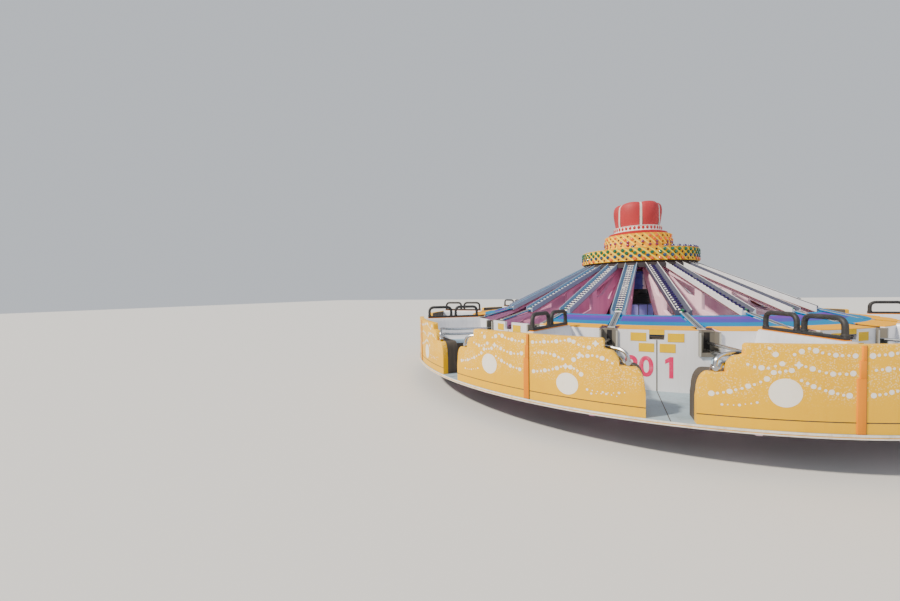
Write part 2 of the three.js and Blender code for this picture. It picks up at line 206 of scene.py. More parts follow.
def asMesh(bm):
    mesh = bpy.data.meshes.new("pattern")
    bm.to_mesh(mesh)
    bm.free()
    return mesh


def stamp(target, mesh, matrix=None):
    start = len(target.verts)
    target.from_mesh(mesh)
    target.verts.ensure_lookup_table()
    if matrix is not None:
        bmesh.ops.transform(target, matrix=matrix, verts=target.verts[start:])
    return target


def copyOf(mesh, matrix=None):
    return stamp(bmesh.new(), mesh, matrix)


def joined(*parts):
    whole = bmesh.new()
    for part in parts:
        stamp(whole, asMesh(part))
    return whole


def ringOf(mesh, count=pairs, start=0.0):
    whole = bmesh.new()
    for k in range(count):
        stamp(whole, mesh, turnedBy(360 / count * k + start))
    return whole


def addObject(name, data):
    made = bpy.data.objects.new(name, data)
    scene.collection.objects.link(made)
    return made


def newCurve(kind, **settings):
    line = bpy.data.curves.new("line", kind)
    for name, value in settings.items():
        setattr(line, name, value)
    return line


def curveMesh(line):
    holder = addObject("holder", line)
    bpy.context.view_layer.update()
    mesh = bpy.data.meshes.new_from_object(holder.evaluated_get(bpy.context.evaluated_depsgraph_get()))
    bpy.data.objects.remove(holder)
    bpy.data.curves.remove(line)
    return tint(facedOut(welded(copyOf(mesh))), 0)


def roundedPath(points, radius, steps=5):
    path = [Vector(points[0])]
    for before, here, after in zip(points, points[1:], points[2:]):
        here = Vector(here)
        start = here + (Vector(before) - here).normalized() * radius
        end = here + (Vector(after) - here).normalized() * radius
        for k in range(steps + 1):
            share = k / steps
            path.append(start * (1 - share) ** 2 + here * 2 * share * (1 - share) + end * share ** 2)
    path.append(Vector(points[-1]))
    return path


def bentTube(path, radius, sides=3, smooth=False):
    line = newCurve("CURVE", dimensions="3D", bevel_depth=radius, bevel_resolution=sides, use_fill_caps=True,
                    resolution_u=4)
    spline = line.splines.new("BEZIER" if smooth else "POLY")
    points = spline.bezier_points if smooth else spline.points
    points.add(len(path) - 1)
    for point, place in zip(points, path):
        point.co = place if smooth else (*place, 1)
        if smooth:
            point.handle_left_type = point.handle_right_type = "AUTO"
    return curveMesh(line)


def flatPlate(outlines, thick, edge):
    line = newCurve("CURVE", dimensions="2D", fill_mode="BOTH", extrude=thick / 2 - edge, bevel_depth=edge,
                    bevel_resolution=1, offset=-edge)
    for points in outlines:
        spline = line.splines.new("POLY")
        spline.points.add(len(points) - 1)
        for point, (x, y) in zip(spline.points, points):
            point.co = (x, y, 0, 1)
        spline.use_cyclic_u = True
    return placed(curveMesh(line), upright)


def numbered(name, index):
    return f"{name}{index + 1:02d}"


def makePiece(name, bm, materials, node=None, body="wheel", sharp=35):
    # materials names the paints in the order of the faces' indices, and node the solid it stands for
    mesh = asMesh(bm)
    mesh.name = name
    for material in materials.split():
        mesh.materials.append(paints[material])
    mesh.shade_smooth()
    mesh.set_sharp_from_angle(angle=radians(sharp))
    piece = addObject(name, mesh)
    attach(piece, body)
    if node:
        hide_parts(node)
    return piece


def makePairs(name, mesh, materials, node=None):
    return [makePiece(numbered(name, k), copyOf(mesh, turnedBy(pairPitch * k)), materials,
                      node and numbered(node, k)) for k in range(pairs)]


# Materials

def tone(code):
    values = [int(code[i:i + 2], 16) / 255 for i in (0, 2, 4)]
    return (*[v / 12.92 if v <= 0.04045 else ((v + 0.055) / 1.055) ** 2.4 for v in values], 1)


def feed(tree, inputs, values):
    # A socket is linked, anything else is set as a value
    for socket, value in values.items():
        if isinstance(value, bpy.types.NodeSocket):
            tree.links.new(value, inputs[socket])
        else:
            inputs[socket].default_value = value


def addNode(tree, kind, output, values=None, **settings):
    node = tree.nodes.new("ShaderNode" + kind)
    for name, value in settings.items():
        setattr(node, name, value)
    feed(tree, node.inputs, values or {})
    return node.outputs[output]


def rangeNode(tree, value, low, high, toLow=0.0, toHigh=1.0):
    return addNode(tree, "MapRange", "Result", {"Value": value, "From Min": low, "From Max": high,
                                                "To Min": toLow, "To Max": toHigh})


def mathNode(tree, operation, first, second=0.0):
    return addNode(tree, "Math", 0, {0: first, 1: second}, operation=operation)


def mixNode(tree, share, first, second, blend="MIX"):
    return addNode(tree, "Mix", 2, {0: share, 6: first, 7: second}, data_type="RGBA", blend_type=blend)


def noiseNode(tree, vector, scale, detail=5.0, roughness=0.6):
    return addNode(tree, "TexNoise", "Fac", {"Vector": vector, "Scale": scale, "Detail": detail,
                                             "Roughness": roughness})


def placeNode(tree):
    return addNode(tree, "TexCoord", "Object")


def makeWeathering():
    group = bpy.data.node_groups.new("outdoorWeathering", "ShaderNodeTree")
    colour, number = "NodeSocketColor", "NodeSocketFloat"
    sockets = {"INPUT": {"Paint": colour, "Dirt": colour, "Patches": number, "Streaks": number,
                         "Scale": number},
               "OUTPUT": {"Color": colour, "Wear": number, "Height": number}}
    for way, kinds in sockets.items():
        for name, kind in kinds.items():
            group.interface.new_socket(name=name, in_out=way, socket_type=kind)
    given = group.nodes.new("NodeGroupInput").outputs
    result = group.nodes.new("NodeGroupOutput").inputs
    place = placeNode(group)
    patches = rangeNode(group, noiseNode(group, place, given["Scale"]), 0.50, 0.78)
    drawn = addNode(group, "Mapping", "Vector", {"Scale": (7, 7, 0.6), "Vector": place})
    streaks = rangeNode(group, noiseNode(group, drawn, given["Scale"]), 0.48, 0.80)
    wear = mathNode(group, "ADD", mathNode(group, "MULTIPLY", patches, given["Patches"]),
                    mathNode(group, "MULTIPLY", streaks, given["Streaks"]))
    slow = rangeNode(group, noiseNode(group, place, 0.9, 2.0, 0.5), 0.3, 0.7, 0.90, 1.0)
    toned = mixNode(group, 1.0, given["Paint"], slow, "MULTIPLY")
    height = mathNode(group, "ADD", noiseNode(group, place, 55.0, 3.0, 0.5), wear)
    feed(group, result, {"Color": mixNode(group, wear, toned, given["Dirt"]), "Wear": wear, "Height": height})
    return group


weathering = makeWeathering()
paints = {}


def basePaint(name, paint, dirt, patches, rough, streaks=0.2, scale=3.0, metal=0.0, coat=0.0, bump=0.12,
              shine=0.5):
    material = paints[name] = bpy.data.materials.new(name)
    material.use_nodes = True
    tree = material.node_tree
    shader = tree.nodes["Principled BSDF"].inputs
    worn = tree.nodes.new("ShaderNodeGroup")
    worn.node_tree = weathering
    feed(tree, worn.inputs, {"Paint": tone(paint), "Dirt": tone(dirt), "Patches": patches, "Streaks": streaks,
                             "Scale": scale})
    relief = {"Strength": bump, "Distance": 0.002, "Height": worn.outputs["Height"]}
    feed(tree, shader, {
        "Base Color": worn.outputs["Color"], "Normal": addNode(tree, "Bump", "Normal", relief),
        "Roughness": rangeNode(tree, worn.outputs["Wear"], 0, 1, rough, min(1, rough + 0.35)),
        "Metallic": metal, "Specular IOR Level": shine, "Coat Weight": coat, "Coat Roughness": 0.15,
    })
    return tree, worn, shader["Base Color"]


gloss = {"coat": 0.6, "bump": 0.02}
paintValues = {  # colour, colour of the dirt, how much of it, roughness, and what else isn't as usual
    "wallWhite": ("f6f5f9", "b4afa4", 0.12, 0.30, {"streaks": 0.18, "coat": 0.2}),
    # Dark seams; also the painted shadow lines beside the crown's ribs
    "seamDark": ("4b463f", "6b5a45", 0.25, 0.7),
    "notchDark": ("45464a", "6b5a45", 0.25, 0.6),
    "placardYellow": ("fcca00", "d89800", 0.15, 0.5, {"shine": 0.2}),
    "placardLine": ("9c7a1c", "6b5a45", 0.25, 0.5),
    "numberPink": ("f01c66", "f2c6d4", 0.45, 0.5, {"streaks": 0.1, "scale": 14}),
    "lining": ("4f473f", "8f8577", 0.3, 0.75),
    "battenOrange": ("ee8c00", "b85800", 0.2, 0.5, {"streaks": 0.25, "shine": 0.2}),
    "dotWhite": ("fff8ea", "efd9a4", 0.2, 0.45, {"streaks": 0.05, "scale": 9}),
    "edgeWhite": ("ece7db", "8b7a63", 0.55, 0.6, {"scale": 11}),
    "edgeYellow": ("f0b93c", "7d6238", 0.6, 0.55, {"scale": 13}),
    "steelUnder": ("5b5552", "4a2f1e", 0.5, 0.7),
    # Channel sides and flanks: pale sunlit copies and darker shaded copies of the same paints, that is
    # painted light and shade
    "channelSide": ("8798b8", "6f747c", 0.35, 0.42),
    "channelPale": ("e8ebf1", "a79fa6", 0.25, 0.42),
    "flankPale": ("cfd6e0", "8c8f9c", 0.3, 0.42),
    "channelFlank": ("3a6288", "4b4f5e", 0.35, 0.42),
    "rimBlue": ("9fb0c6", "6a6f80", 0.35, 0.5, {"scale": 6}),
    "channelRim": ("f3f2f2", "8a7d74", 0.4, 0.45, {"scale": 6}),
    "flankDark": ("4a4c5e", "2e2c36", 0.35, 0.5),
    "channelFloor": ("2c2140", "241f2a", 0.3, 0.6),
    # A red-brown painted shade line along the foot of each channel
    "footRed": ("8a4a42", "3c2a2c", 0.4, 0.6, {"scale": 5}),
    "rungWhite": ("faf8f4", "a79f90", 0.35, 0.45, {"scale": 8}),
    "stripGrey": ("676d78", "6d5143", 0.4, 0.5, {"streaks": 0.1, "scale": 7}),
    "railCyan": ("007ab4", "28525f", 0.2, 0.6, {"shine": 0.1}),
    "fittingBrown": ("8d7c6c", "5a3420", 0.5, 0.6, {"scale": 12, "metal": 0.3}),
    "boxGrey": ("78736a", "8b877c", 0.3, 0.6),
    "boxFrame": ("c5c3ba", "807a6c", 0.35, 0.5),
    # Black for the strips' centre lines, a painted shadow under the strips' end plates and the painted dark
    # inside of the box slots
    "slotBlack": ("17161a", "6b5a45", 0.25, 0.7),
    # Pink web paint in a sunlit pale copy and a shaded mauve copy: painted light and shade; the magenta dirt
    # patches stand partly for dirt and partly for painted shade
    "trussSunlitPink": ("ffdce8", "c0609c", 0.45, 0.45, {"streaks": 0.3, "scale": 1.6}),
    "trussShadedMauve": ("eea4cc", "9a3088", 0.45, 0.45, {"streaks": 0.3, "scale": 1.4}),
    "hubMagenta": ("b02c84", "4b2340", 0.4, 0.5),
    "hubDark": ("3a3338", "5b4636", 0.4, 0.65),
    "mastNavy": ("443eb0", "1a1a30", 0.3, 0.4),
    "driveBlack": ("1c1b1e", "463a30", 0.4, 0.5, {"metal": 0.2}),
    "shroudBlue": ("9a97ec", "3f3f70", 0.3, 0.45, {"streaks": 0.35}),
    "groundSteel": ("54565c", "5f4430", 0.5, 0.65, {"metal": 0.2}),
    "boltSteel": ("9a968e", "6b4a30", 0.5, 0.45, {"scale": 15, "metal": 0.6}),
    "drumTop": ("fdbb10", "8a5c20", 0.5, 0.6, {"scale": 4, "shine": 0.2}),
    "drumRim": ("4a3a2a", "2b221a", 0.4, 0.65),
    "socketDark": ("2b1f22", "6b5a45", 0.25, 0.7),
    "capGreen": ("006440", "0a5a46", 0.3, 0.14, gloss),
    "capBlue": ("00446a", "0d3f66", 0.3, 0.14, gloss),
    "capOrange": ("f06800", "b85512", 0.3, 0.16, gloss),
    "capPurple": ("7c2454", "41183d", 0.3, 0.16, gloss),
    "capViolet": ("2c1c60", "241a40", 0.3, 0.2, {"coat": 0.5, "bump": 0.02}),
    "trimRed": ("b40e0a", "8f2a22", 0.3, 0.4),
    "jewelWhite": ("f6f2ec", "b9b0a2", 0.2, 0.4),
    "ovalRed": ("bc0c08", "8d1d18", 0.15, 0.25, {"coat": 0.4}),
    "crownRed": ("ba3036", "86262c", 0.35, 0.6, {"streaks": 0.3, "scale": 2.4}),
    "ribSilver": ("dcdad2", "8c8478", 0.3, 0.4, {"scale": 9}),
    "tubWhite": ("e6e8ef", "9a9b9f", 0.2, 0.34, {"streaks": 0.25, "coat": 0.2}),
    "seatBlue": ("a9c6dd", "7c8f9f", 0.25, 0.4, {"coat": 0.15}),
    # Seat fronts in a dark grey-brown painted shade
    "kickDark": ("574f48", "7a6f62", 0.35, 0.8),
    "hoopBlack": ("2a2a2c", "55524e", 0.35, 0.55, {"scale": 12, "bump": 0.3}),
    "chrome": ("b6b9bd", "8a7f72", 0.2, 0.24, {"scale": 10, "metal": 1.0, "bump": 0.03}),
}
for paintName, (*usual, last) in paintValues.items():
    if isinstance(last, dict):
        basePaint(paintName, *usual, **last)
    else:
        basePaint(paintName, *usual, last)


def makePanelYellow():
    # Yellow gel coat, its upper part mottled with pale flecks
    tree, worn, colour = basePaint("panelYellow", "f8bc00", "e09000", 0.22, 0.42, 0.15, 2.2, bump=0.05,
                                   shine=0.2)
    place = placeNode(tree)
    cells = addNode(tree, "TexVoronoi", "Distance", {"Scale": 58, "Vector": place})
    mottled = rangeNode(tree, noiseNode(tree, place, 7.0, 4.0), 0.34, 0.56)
    height = addNode(tree, "SeparateXYZ", "Z", {0: place})
    flecks = mathNode(tree, "MULTIPLY", rangeNode(tree, cells, 0.44, 0.28), mottled)
    share = mathNode(tree, "MULTIPLY", flecks, rangeNode(tree, height, 0.62, 0.72, 0.02, 0.42))
    tree.links.new(mixNode(tree, share, worn.outputs["Color"], tone("fff0c0")), colour)


def makeBandStripes():
    # Five stripes, each from its own distance from the mast
    tree, worn, colour = basePaint("bandStripes", "6a50b0", "4a5068", 0.15, 0.6, 0.0, shine=0.1)
    flat = addNode(tree, "VectorMath", "Vector", {0: placeNode(tree), 1: (1, 1, 0)}, operation="MULTIPLY")
    reach = addNode(tree, "VectorMath", "Value", {0: flat}, operation="LENGTH")
    stripes = ((2.620, "007ab4"), (2.690, "6a3aa8"), (2.80, "4c44a8"), (2.950, "007cae"), (3.155, "f8b000"))
    low, high = stripes[0][0], wallOuter
    ramp = tree.nodes.new("ShaderNodeValToRGB")
    ramp.color_ramp.interpolation = "CONSTANT"
    marks = ramp.color_ramp.elements
    while len(marks) < len(stripes):
        marks.new(1.0)
    for mark, (radius, code) in zip(marks, stripes):
        mark.position = (radius - low) / (high - low)
        mark.color = tone(code)
    feed(tree, ramp.inputs, {"Fac": rangeNode(tree, reach, low, high)})
    feed(tree, worn.inputs, {"Paint": ramp.outputs["Color"]})


def makeFloorPaint():
    # Floor paint in a blue-grey painted shade, walked through to the grey sheet in patches
    tree, worn, colour = basePaint("floorPaint", "9eb2be", "66747c", 0.55, 0.6, 0.0, 4.5)
    scuffs = rangeNode(tree, noiseNode(tree, placeNode(tree), 26.0, 6.0, 0.7), 0.56, 0.66)
    share = mathNode(tree, "MULTIPLY", scuffs, 0.5)
    tree.links.new(mixNode(tree, share, worn.outputs["Color"], tone("858d92")), colour)


def makeLattice(name, lamps, rowPitch, phase):
    # Pale diagonal stripes between the lamps: painted light for the lit strips between the lamps' shadows,
    # with the darker stripes as painted shade
    tree, worn, colour = basePaint(name, "ffb800", "b87800", 0.2, 0.5, 0.15, shine=0.15)
    split = tree.nodes.new("ShaderNodeSeparateXYZ")
    tree.links.new(placeNode(tree), split.inputs[0])
    x, y, z = split.outputs
    turns = mathNode(tree, "MULTIPLY", mathNode(tree, "ARCTAN2", y, x), lamps / tau)
    rise = mathNode(tree, "ADD", mathNode(tree, "DIVIDE", z, 2 * rowPitch), phase)
    share = mathNode(tree, "FRACT", mathNode(tree, "ADD", turns, rise))
    offset = mathNode(tree, "ABSOLUTE", mathNode(tree, "SUBTRACT", share, 0.5))
    pale = rangeNode(tree, offset, 0.15, 0.09)
    tree.links.new(mixNode(tree, pale, tone("ffb400"), tone("ffee50")), worn.inputs["Paint"])


makePanelYellow()
makeBandStripes()
makeFloorPaint()
print("materials ready")


# Camera, lights and the plain stage

viewSetup = {"place": (-0.509, -8.383, 1.644), "heading": 114.155, "pitchDown": 1.406, "roll": 0.871,
             "lens": 14.326}
lightSetup = {
    "key": {"strength": 5.1, "spread": 4.0, "from": (-0.62, -0.52, 0.72), "colour": "fff4e2"},
    "fill": {"strength": 0.4, "spread": 40.0, "from": (0.8, -0.5, 0.35), "colour": "e4ecff"},
}
stageSetup = {"half": 60, "floor": "d9d8d6", "rough": 0.9, "world": "e6ebf2", "strength": 0.80}


def makeCamera(place, heading, pitchDown, roll, lens):
    data = bpy.data.cameras.new("viewCamera")
    data.sensor_width = 36
    data.lens = lens
    data.clip_end = 300
    scene.camera = addObject("viewCamera", data)
    heading, pitch, roll = radians(heading), radians(pitchDown), radians(roll)
    ahead = Vector((cos(heading) * cos(pitch), sin(heading) * cos(pitch), -sin(pitch)))
    right = Vector((sin(heading), -cos(heading), 0))
    above = right.cross(ahead)
    level = right * cos(roll) - above * sin(roll)
    plumb = right * sin(roll) + above * cos(roll)
    scene.camera.matrix_world = at(*place) @ Matrix((level, plumb, -ahead)).transposed().to_4x4()


def makeStage(half, floor, rough, world, strength):
    bm = bmesh.new()
    bmesh.ops.create_grid(bm, x_segments=1, y_segments=1, size=half)
    material = bpy.data.materials.new("stagePale")
    material.use_nodes = True
    shader = material.node_tree.nodes["Principled BSDF"]
    shader.inputs["Base Color"].default_value = tone(floor)
    shader.inputs["Roughness"].default_value = rough
    mesh = asMesh(bm)
    mesh.name = "stageFloor"
    mesh.materials.append(material)
    addObject("stageFloor", mesh)
    scene.world = bpy.data.worlds.new("softStudio")
    scene.world.use_nodes = True
    sky = scene.world.node_tree.nodes["Background"].inputs
    sky["Color"].default_value = tone(world)
    sky["Strength"].default_value = strength


def makeLights(values):
    for name, settings in values.items():
        data = bpy.data.lights.new(name + "Light", "SUN")
        data.energy = settings["strength"]
        data.angle = radians(settings["spread"])
        data.color = tone(settings["colour"])[:3]
        lamp = addObject(name + "Light", data)
        lamp.rotation_mode = "QUATERNION"
        lamp.rotation_quaternion = Vector(settings["from"]).to_track_quat("Z", "Y")


makeCamera(**viewSetup)
makeStage(**stageSetup)
makeLights(lightSetup)
print("camera and lights ready")


# Floor ring with its peeling edge strip, and the seams that run on from the wall

floorForm = {"steps": 160, "yellowFrom": 0.374, "yellowTo": 0.383, "groove": 0.003, "seamHalf": 0.0045}


def buildFloor(steps, yellowFrom, yellowTo, groove, seamHalf):
    inner, outer, inset, skin = floorInner, floorOuter, floorOuter - groove, 0.001

    def finish(centre, normal):
        if centre.z < floorBottom + skin:
            return 3
        if centre.xy.length > outer - 0.005:
            return 2 if yellowFrom < centre.z < yellowTo else 1
        return 0

    bm = turned([
        (inner, floorBottom), (inset, floorBottom), (outer, floorBottom + 0.003), (outer, yellowFrom),
        (inset, yellowFrom + skin), (inset, yellowTo - skin), (outer, yellowTo), (outer, floorTop - 0.004),
        (outer - 0.004, floorTop), (inner, floorTop)], steps)
    makePiece("floorRing", paintFaces(bm, finish), "floorPaint edgeWhite edgeYellow steelUnder",
              "floor_ring")
    line = block((wallOuter + skin, -seamHalf, floorTop - 0.002), (outer - 0.01, seamHalf, floorTop + skin))
    makePiece("floorSeams", ringOf(asMesh(line), start=pairPitch / 2), "seamDark")


# White wall behind the seats: notched at each gap, with blank placards and plain tub numbers

wallForm = {
    "columnStep": 0.0895, "notchHalf": 0.082, "notchDeep": 0.120, "yellowDeep": 0.056, "lineDeep": 0.012,
    "seamHalf": 0.006, "emptyGap": 234,
}
placardForm = {  # a plate has its distance from the gap's middle, its height above the ground and its size
    "upper": (0.199, 1.054, 0.172, 0.104), "lower": (0.112, 0.926, 0.167, 0.106),
    "thick": 0.003, "line": 0.004,
}
numberForm = {
    "high": 0.258, "centre": 0.694, "spacing": 0.155, "single": 0.150, "double": 0.1915, "widen": 0.93,
    "weight": 0.026, "thick": 0.0024,
    "one": ((-0.022, 0.0), (0.022, 0.0), (0.022, 0.258), (-0.014, 0.258), (-0.064, 0.222), (-0.064, 0.172),
            (-0.022, 0.196)),
}


def buildWall(columnStep, notchHalf, notchDeep, yellowDeep, lineDeep, seamHalf, emptyGap):
    bottom = floorTop + hair
    half, gate = wallOuter * radians(pairPitch / 2), wallOuter * radians(sweepOffset)
    notchBottom = wallTop - notchDeep
    outline = bothHalves([
        (notchHalf, notchBottom), (notchHalf, wallTop), (gate - boxHalf, wallTop),
        (gate - boxHalf, boxBottom), (gate + boxHalf, boxBottom), (gate + boxHalf, wallTop),
        (half, wallTop), (half, bottom)])
    sector = wrapRound(slab(outline, wallOuter - wallInner), wallOuter, pairPitch / 2, columnStep, half)
    makePiece("innerWall", welded(ringOf(asMesh(sector)), 0.0002), "wallWhite", "inner_wall")

    inside, yellow = notchHalf - 0.002, wallTop - yellowDeep
    line = yellow - lineDeep
    fittings = asMesh(joined(*[
        tint(slab(rectangle(-inside, low, inside, high), depth, front), index)
        for high, low, depth, front, index in (
            (wallTop - 0.0005, yellow, 0.030, 0.001, 0), (yellow - 0.001, line, 0.012, -0.008, 1),
            (line - 0.012, line - 0.020, 0.012, -0.020, 3),
            (line - 0.001, notchBottom + 0.001, 0.006, -0.032, 2))]))
    seam = asMesh(tint(slab(rectangle(-seamHalf, bottom, seamHalf, notchBottom - 0.001), 0.003, 0.0015), 2))
    for k in range(pairs):
        angle = pairPitch * (k + 0.5)
        bm = copyOf(seam)
        if angle != emptyGap:
            stamp(bm, fittings)
        makePiece(numbered("gapNotch", k), wrapRound(bm, wallOuter, angle, 0.05, notchHalf),
                  "placardYellow channelFlank seamDark fittingBrown")


def buildPlacards(upper, lower, thick, line):
    plates = []
    for across, height, wide, high in (upper, lower):
        for side in (-1, 1):
            middle, low = side * across, height - high / 2
            bm = slab(rectangle(middle - wide / 2, low, middle + wide / 2, low + high), thick, thick)
            front = max(bm.faces, key=lambda face: face.calc_center_median().y)
            bmesh.ops.inset_region(bm, faces=[front], thickness=line / 2)
            rim = bmesh.ops.inset_region(bm, faces=[front], thickness=line / 3)
            for face in rim["faces"]:
                face.material_index = 1
            plates.append(bm)
    pattern = asMesh(wrapRound(joined(*plates), wallOuter, pairPitch / 2, 0.05, 0.35))
    makePiece("blankPlacards", ringOf(pattern), "placardYellow placardLine")


def digit(sign, across, high, centre, widen, weight, thick, one):
    foot = centre - high / 2
    if sign == "1":
        return slab([(across + x, foot + z) for x, z in one], thick, thick)
    bm = curveMesh(newCurve("FONT", body=sign, align_x="CENTER", offset=weight, extrude=thick / 2,
                            resolution_u=5))
    heights = [corner.co.y for corner in bm.verts]
    lowest = min(heights)
    share = high / (max(heights) - lowest)
    for corner in bm.verts:
        x, y, z = corner.co
        corner.co = (across + x * share * widen, thick / 2 + z, foot + (y - lowest) * share)
    return bm


def buildNumbers(spacing, single, double, **shape):
    # Looking in at a gap, the tub on the left carries the even number and the one on the right the odd
    for k in range(pairs):
        parts = []
        for number, side in ((2 * k or 2 * pairs, -1), (2 * k + 1, 1)):
            signs = str(number)
            across = side * (single if number < 10 else double)
            for place, sign in enumerate(signs):
                parts.append(digit(sign, across + (place - (len(signs) - 1) / 2) * spacing, **shape))
        bm = wrapRound(joined(*parts), wallOuter, 270 + pairPitch * k, 0.04, 0.40)
        makePiece(numbered("tubNumbers", k), bm, "numberPink")


# Striped band: one painted panel between each two sweeps, with a cyan border along its sides

bandForm = {
    "thick": 0.012, "border": 0.022, "across": 8, "step": 0.0004, "lip": 0.003, "missing": (207, 243),
    "rise": (1.152, 0.04, 0.145),  # height at the wall, slope there, and how much steeper it gets inward
    "stations": (2.640, 2.643, 2.690, 2.740, 2.800, 2.870, 2.950, 3.030, 3.100, 3.155, 3.250, 3.330, 3.417,
                 3.420),
}


def bandPanel(angle, thick, border, across, step, lip, rise, stations):
    # A grid of columns across the panel and stations along the radius, bent to the dish
    radii = sorted([*stations, slotFrom, slotFrom + step, gateFrom, gateFrom + step])
    columns, rows = across + 2, len(radii) - 1
    lipTop, slope, steepen = rise
    bm = bmesh.new()
    bmesh.ops.create_grid(bm, x_segments=columns, y_segments=rows, size=1)
    for face in bm.faces:
        x, y = face.calc_center_median().xy
        nearSide = abs(x) > 1 - 2 / columns
        face.material_index = int(nearSide and radii[int((y + 1) / 2 * rows)] < gateFrom)
    for corner in bm.verts:
        column, row = round((corner.co.x + 1) / 2 * columns), round((corner.co.y + 1) / 2 * rows)
        radius = radii[row]
        inset = 0 if radius <= slotFrom else slotHalf if radius <= gateFrom else boxHalf + 0.004
        edge, inward = radians(sweepPitch / 2) - asin(inset / radius), wallOuter - radius
        turn = max(-edge, min(edge, edge * (2 * (column - 1) / across - 1)))
        if column in (1, columns - 1):
            turn -= copysign(border / radius, turn)
        height = lipTop + slope * inward + steepen * inward ** 2 - (lip if row in (0, rows) else 0)
        corner.co = (radius * cos(turn + angle), radius * sin(turn + angle), height)
    for corner in pushedOut(bm, bm.faces[:]):
        corner.co.z -= thick
        if corner.co.xy.length > wallInner - 0.010:
            corner.co.z = max(corner.co.z, wallTop + hair)
    return facedOut(bm)


def buildBand(missing, **shape):
    whole = bmesh.new()
    for k in range(sweeps):
        angle = sweepPitch * k
        if not missing[0] < angle < missing[1]:
            stamp(whole, asMesh(bandPanel(radians(angle), **shape)))
    makePiece("stripedBand", welded(whole), "bandStripes railCyan", "striped_band")


buildFloor(**floorForm)
buildWall(**wallForm)
buildPlacards(**placardForm)
buildNumbers(**numberForm)
buildBand(**bandForm)
print("floor, wall and band done")


# Outer panels: stepped yellow shells in three tiers, with a dark lining, an orange batten and white dots

panelForm = {
    "angles": (10.7, 11.1, 12.5, 14.1, 15.3, 15.4),  # step, shoulder's round, ledge, drop, its foot, end
    "columnStep": 0.0787, "skin": 0.078, "edge": 0.007, "seam": 0.009,
    "crease": 0.497, "creaseHalf": 0.005, "creaseDeep": 0.006,
    "battenRight": 0.030, "battenProud": 0.010, "battenSunk": 0.012,
    "battenLeft": ((0.402, 0.870, -0.036), (0.870, 1.020, -0.017), (1.020, 1.146, 0.0)),  # from, to, edge
    "liningInset": 0.004, "liningFrom": 7.3, "liningInner": 4.250,
}


def quarterArc(centreX, centreZ, wide, high, steps=6):
    angles = [radians(90 * k / steps) for k in range(steps + 1)]
    return [(centreX + wide * sin(a), centreZ + high * cos(a)) for a in angles]


def panelOutline(inset=0.0):
    step, rounded, inner, drop, curl, end = [panelOuter * radians(a) - inset for a in panelForm["angles"]]
    top, shoulder, ledge = panelTop - inset, shoulderTop - inset, ledgeTop - inset
    crest, shoulderHigh, endHigh = 0.030, 0.140, 0.185
    return bothHalves([
        (step - 2 * crest, top), *quarterArc(step - crest, top - crest, crest, crest, 4),
        (step, shoulder + 0.012),
        *quarterArc(rounded, shoulder - shoulderHigh, inner - rounded, shoulderHigh),
        (inner, ledge + 0.002), *quarterArc(drop, ledge - endHigh, curl - drop, endHigh),
        (end, ledge - 0.24), (end, floorTop + hair + inset)])


def liningOutline():
    # The box inside the panel's end has the end's own rounded outline below the ledge
    start = panelOuter * radians(panelForm["liningFrom"])
    right = [(x, z) for x, z in panelOutline(0.002) if x > start and z < ledgeTop - 0.001]
    return [(start, floorTop + hair), (start, ledgeTop - 0.002), *right]


def buildPanels(angles, columnStep, skin, edge, seam, crease, creaseHalf, creaseDeep, battenRight,
                battenProud, battenSunk, battenLeft, liningInset, liningFrom, liningInner):
    reach = panelOuter * radians(angles[-1])
    bm = slab(panelOutline(), skin)
    rim = [e for e in bm.edges if all(abs(v.co.y) < 0.0001 and v.co.z > floorTop + 0.01 for v in e.verts)]
    softenEdges(bm, rim, edge)
    for step in (-1, 0, 1):
        cut(bm, (0, 0, crease + step * creaseHalf), (0, 0, 1))
    cutColumns(bm, columnStep, reach)
    for corner in bm.verts:
        if corner.co.y > -0.015 and abs(corner.co.z - crease) < 0.001:
            corner.co.y -= creaseDeep
    # The crease groove's faces take the dark lining paint: a painted shade line in the crease
    paintFaces(bm, lambda centre, normal: int(centre.y > -0.010 and abs(centre.z - crease) < creaseHalf))
    makePairs("tubPanel", asMesh(wrapRound(bm, panelOuter)), "panelYellow lining",
              "outer_panel_")

    back = panelInner - panelOuter
    box = asMesh(slab(liningOutline(), panelInner + 0.001 - liningInner, back + 0.001))
    lining = joined(slab(panelOutline(liningInset), 0.002, back + 0.0025), copyOf(box),
                    placed(copyOf(box), scaledBy(-1, 1, 1)))
    makePairs("panelLining", asMesh(wrapRound(lining, panelOuter, 0, columnStep, reach)), "lining")

    battens = [block((left, -battenSunk, low), (battenRight, battenProud, high), 0.003)
               for low, high, left in battenLeft]
    gap = tint(block((battenRight - 0.001, -battenSunk, floorTop + 0.002),
                     (battenRight + seam, 0.002, panelTop - 0.004)), 1)
    makePairs("panelBatten", asMesh(wrapRound(joined(*battens, gap), panelOuter)), "battenOrange seamDark")


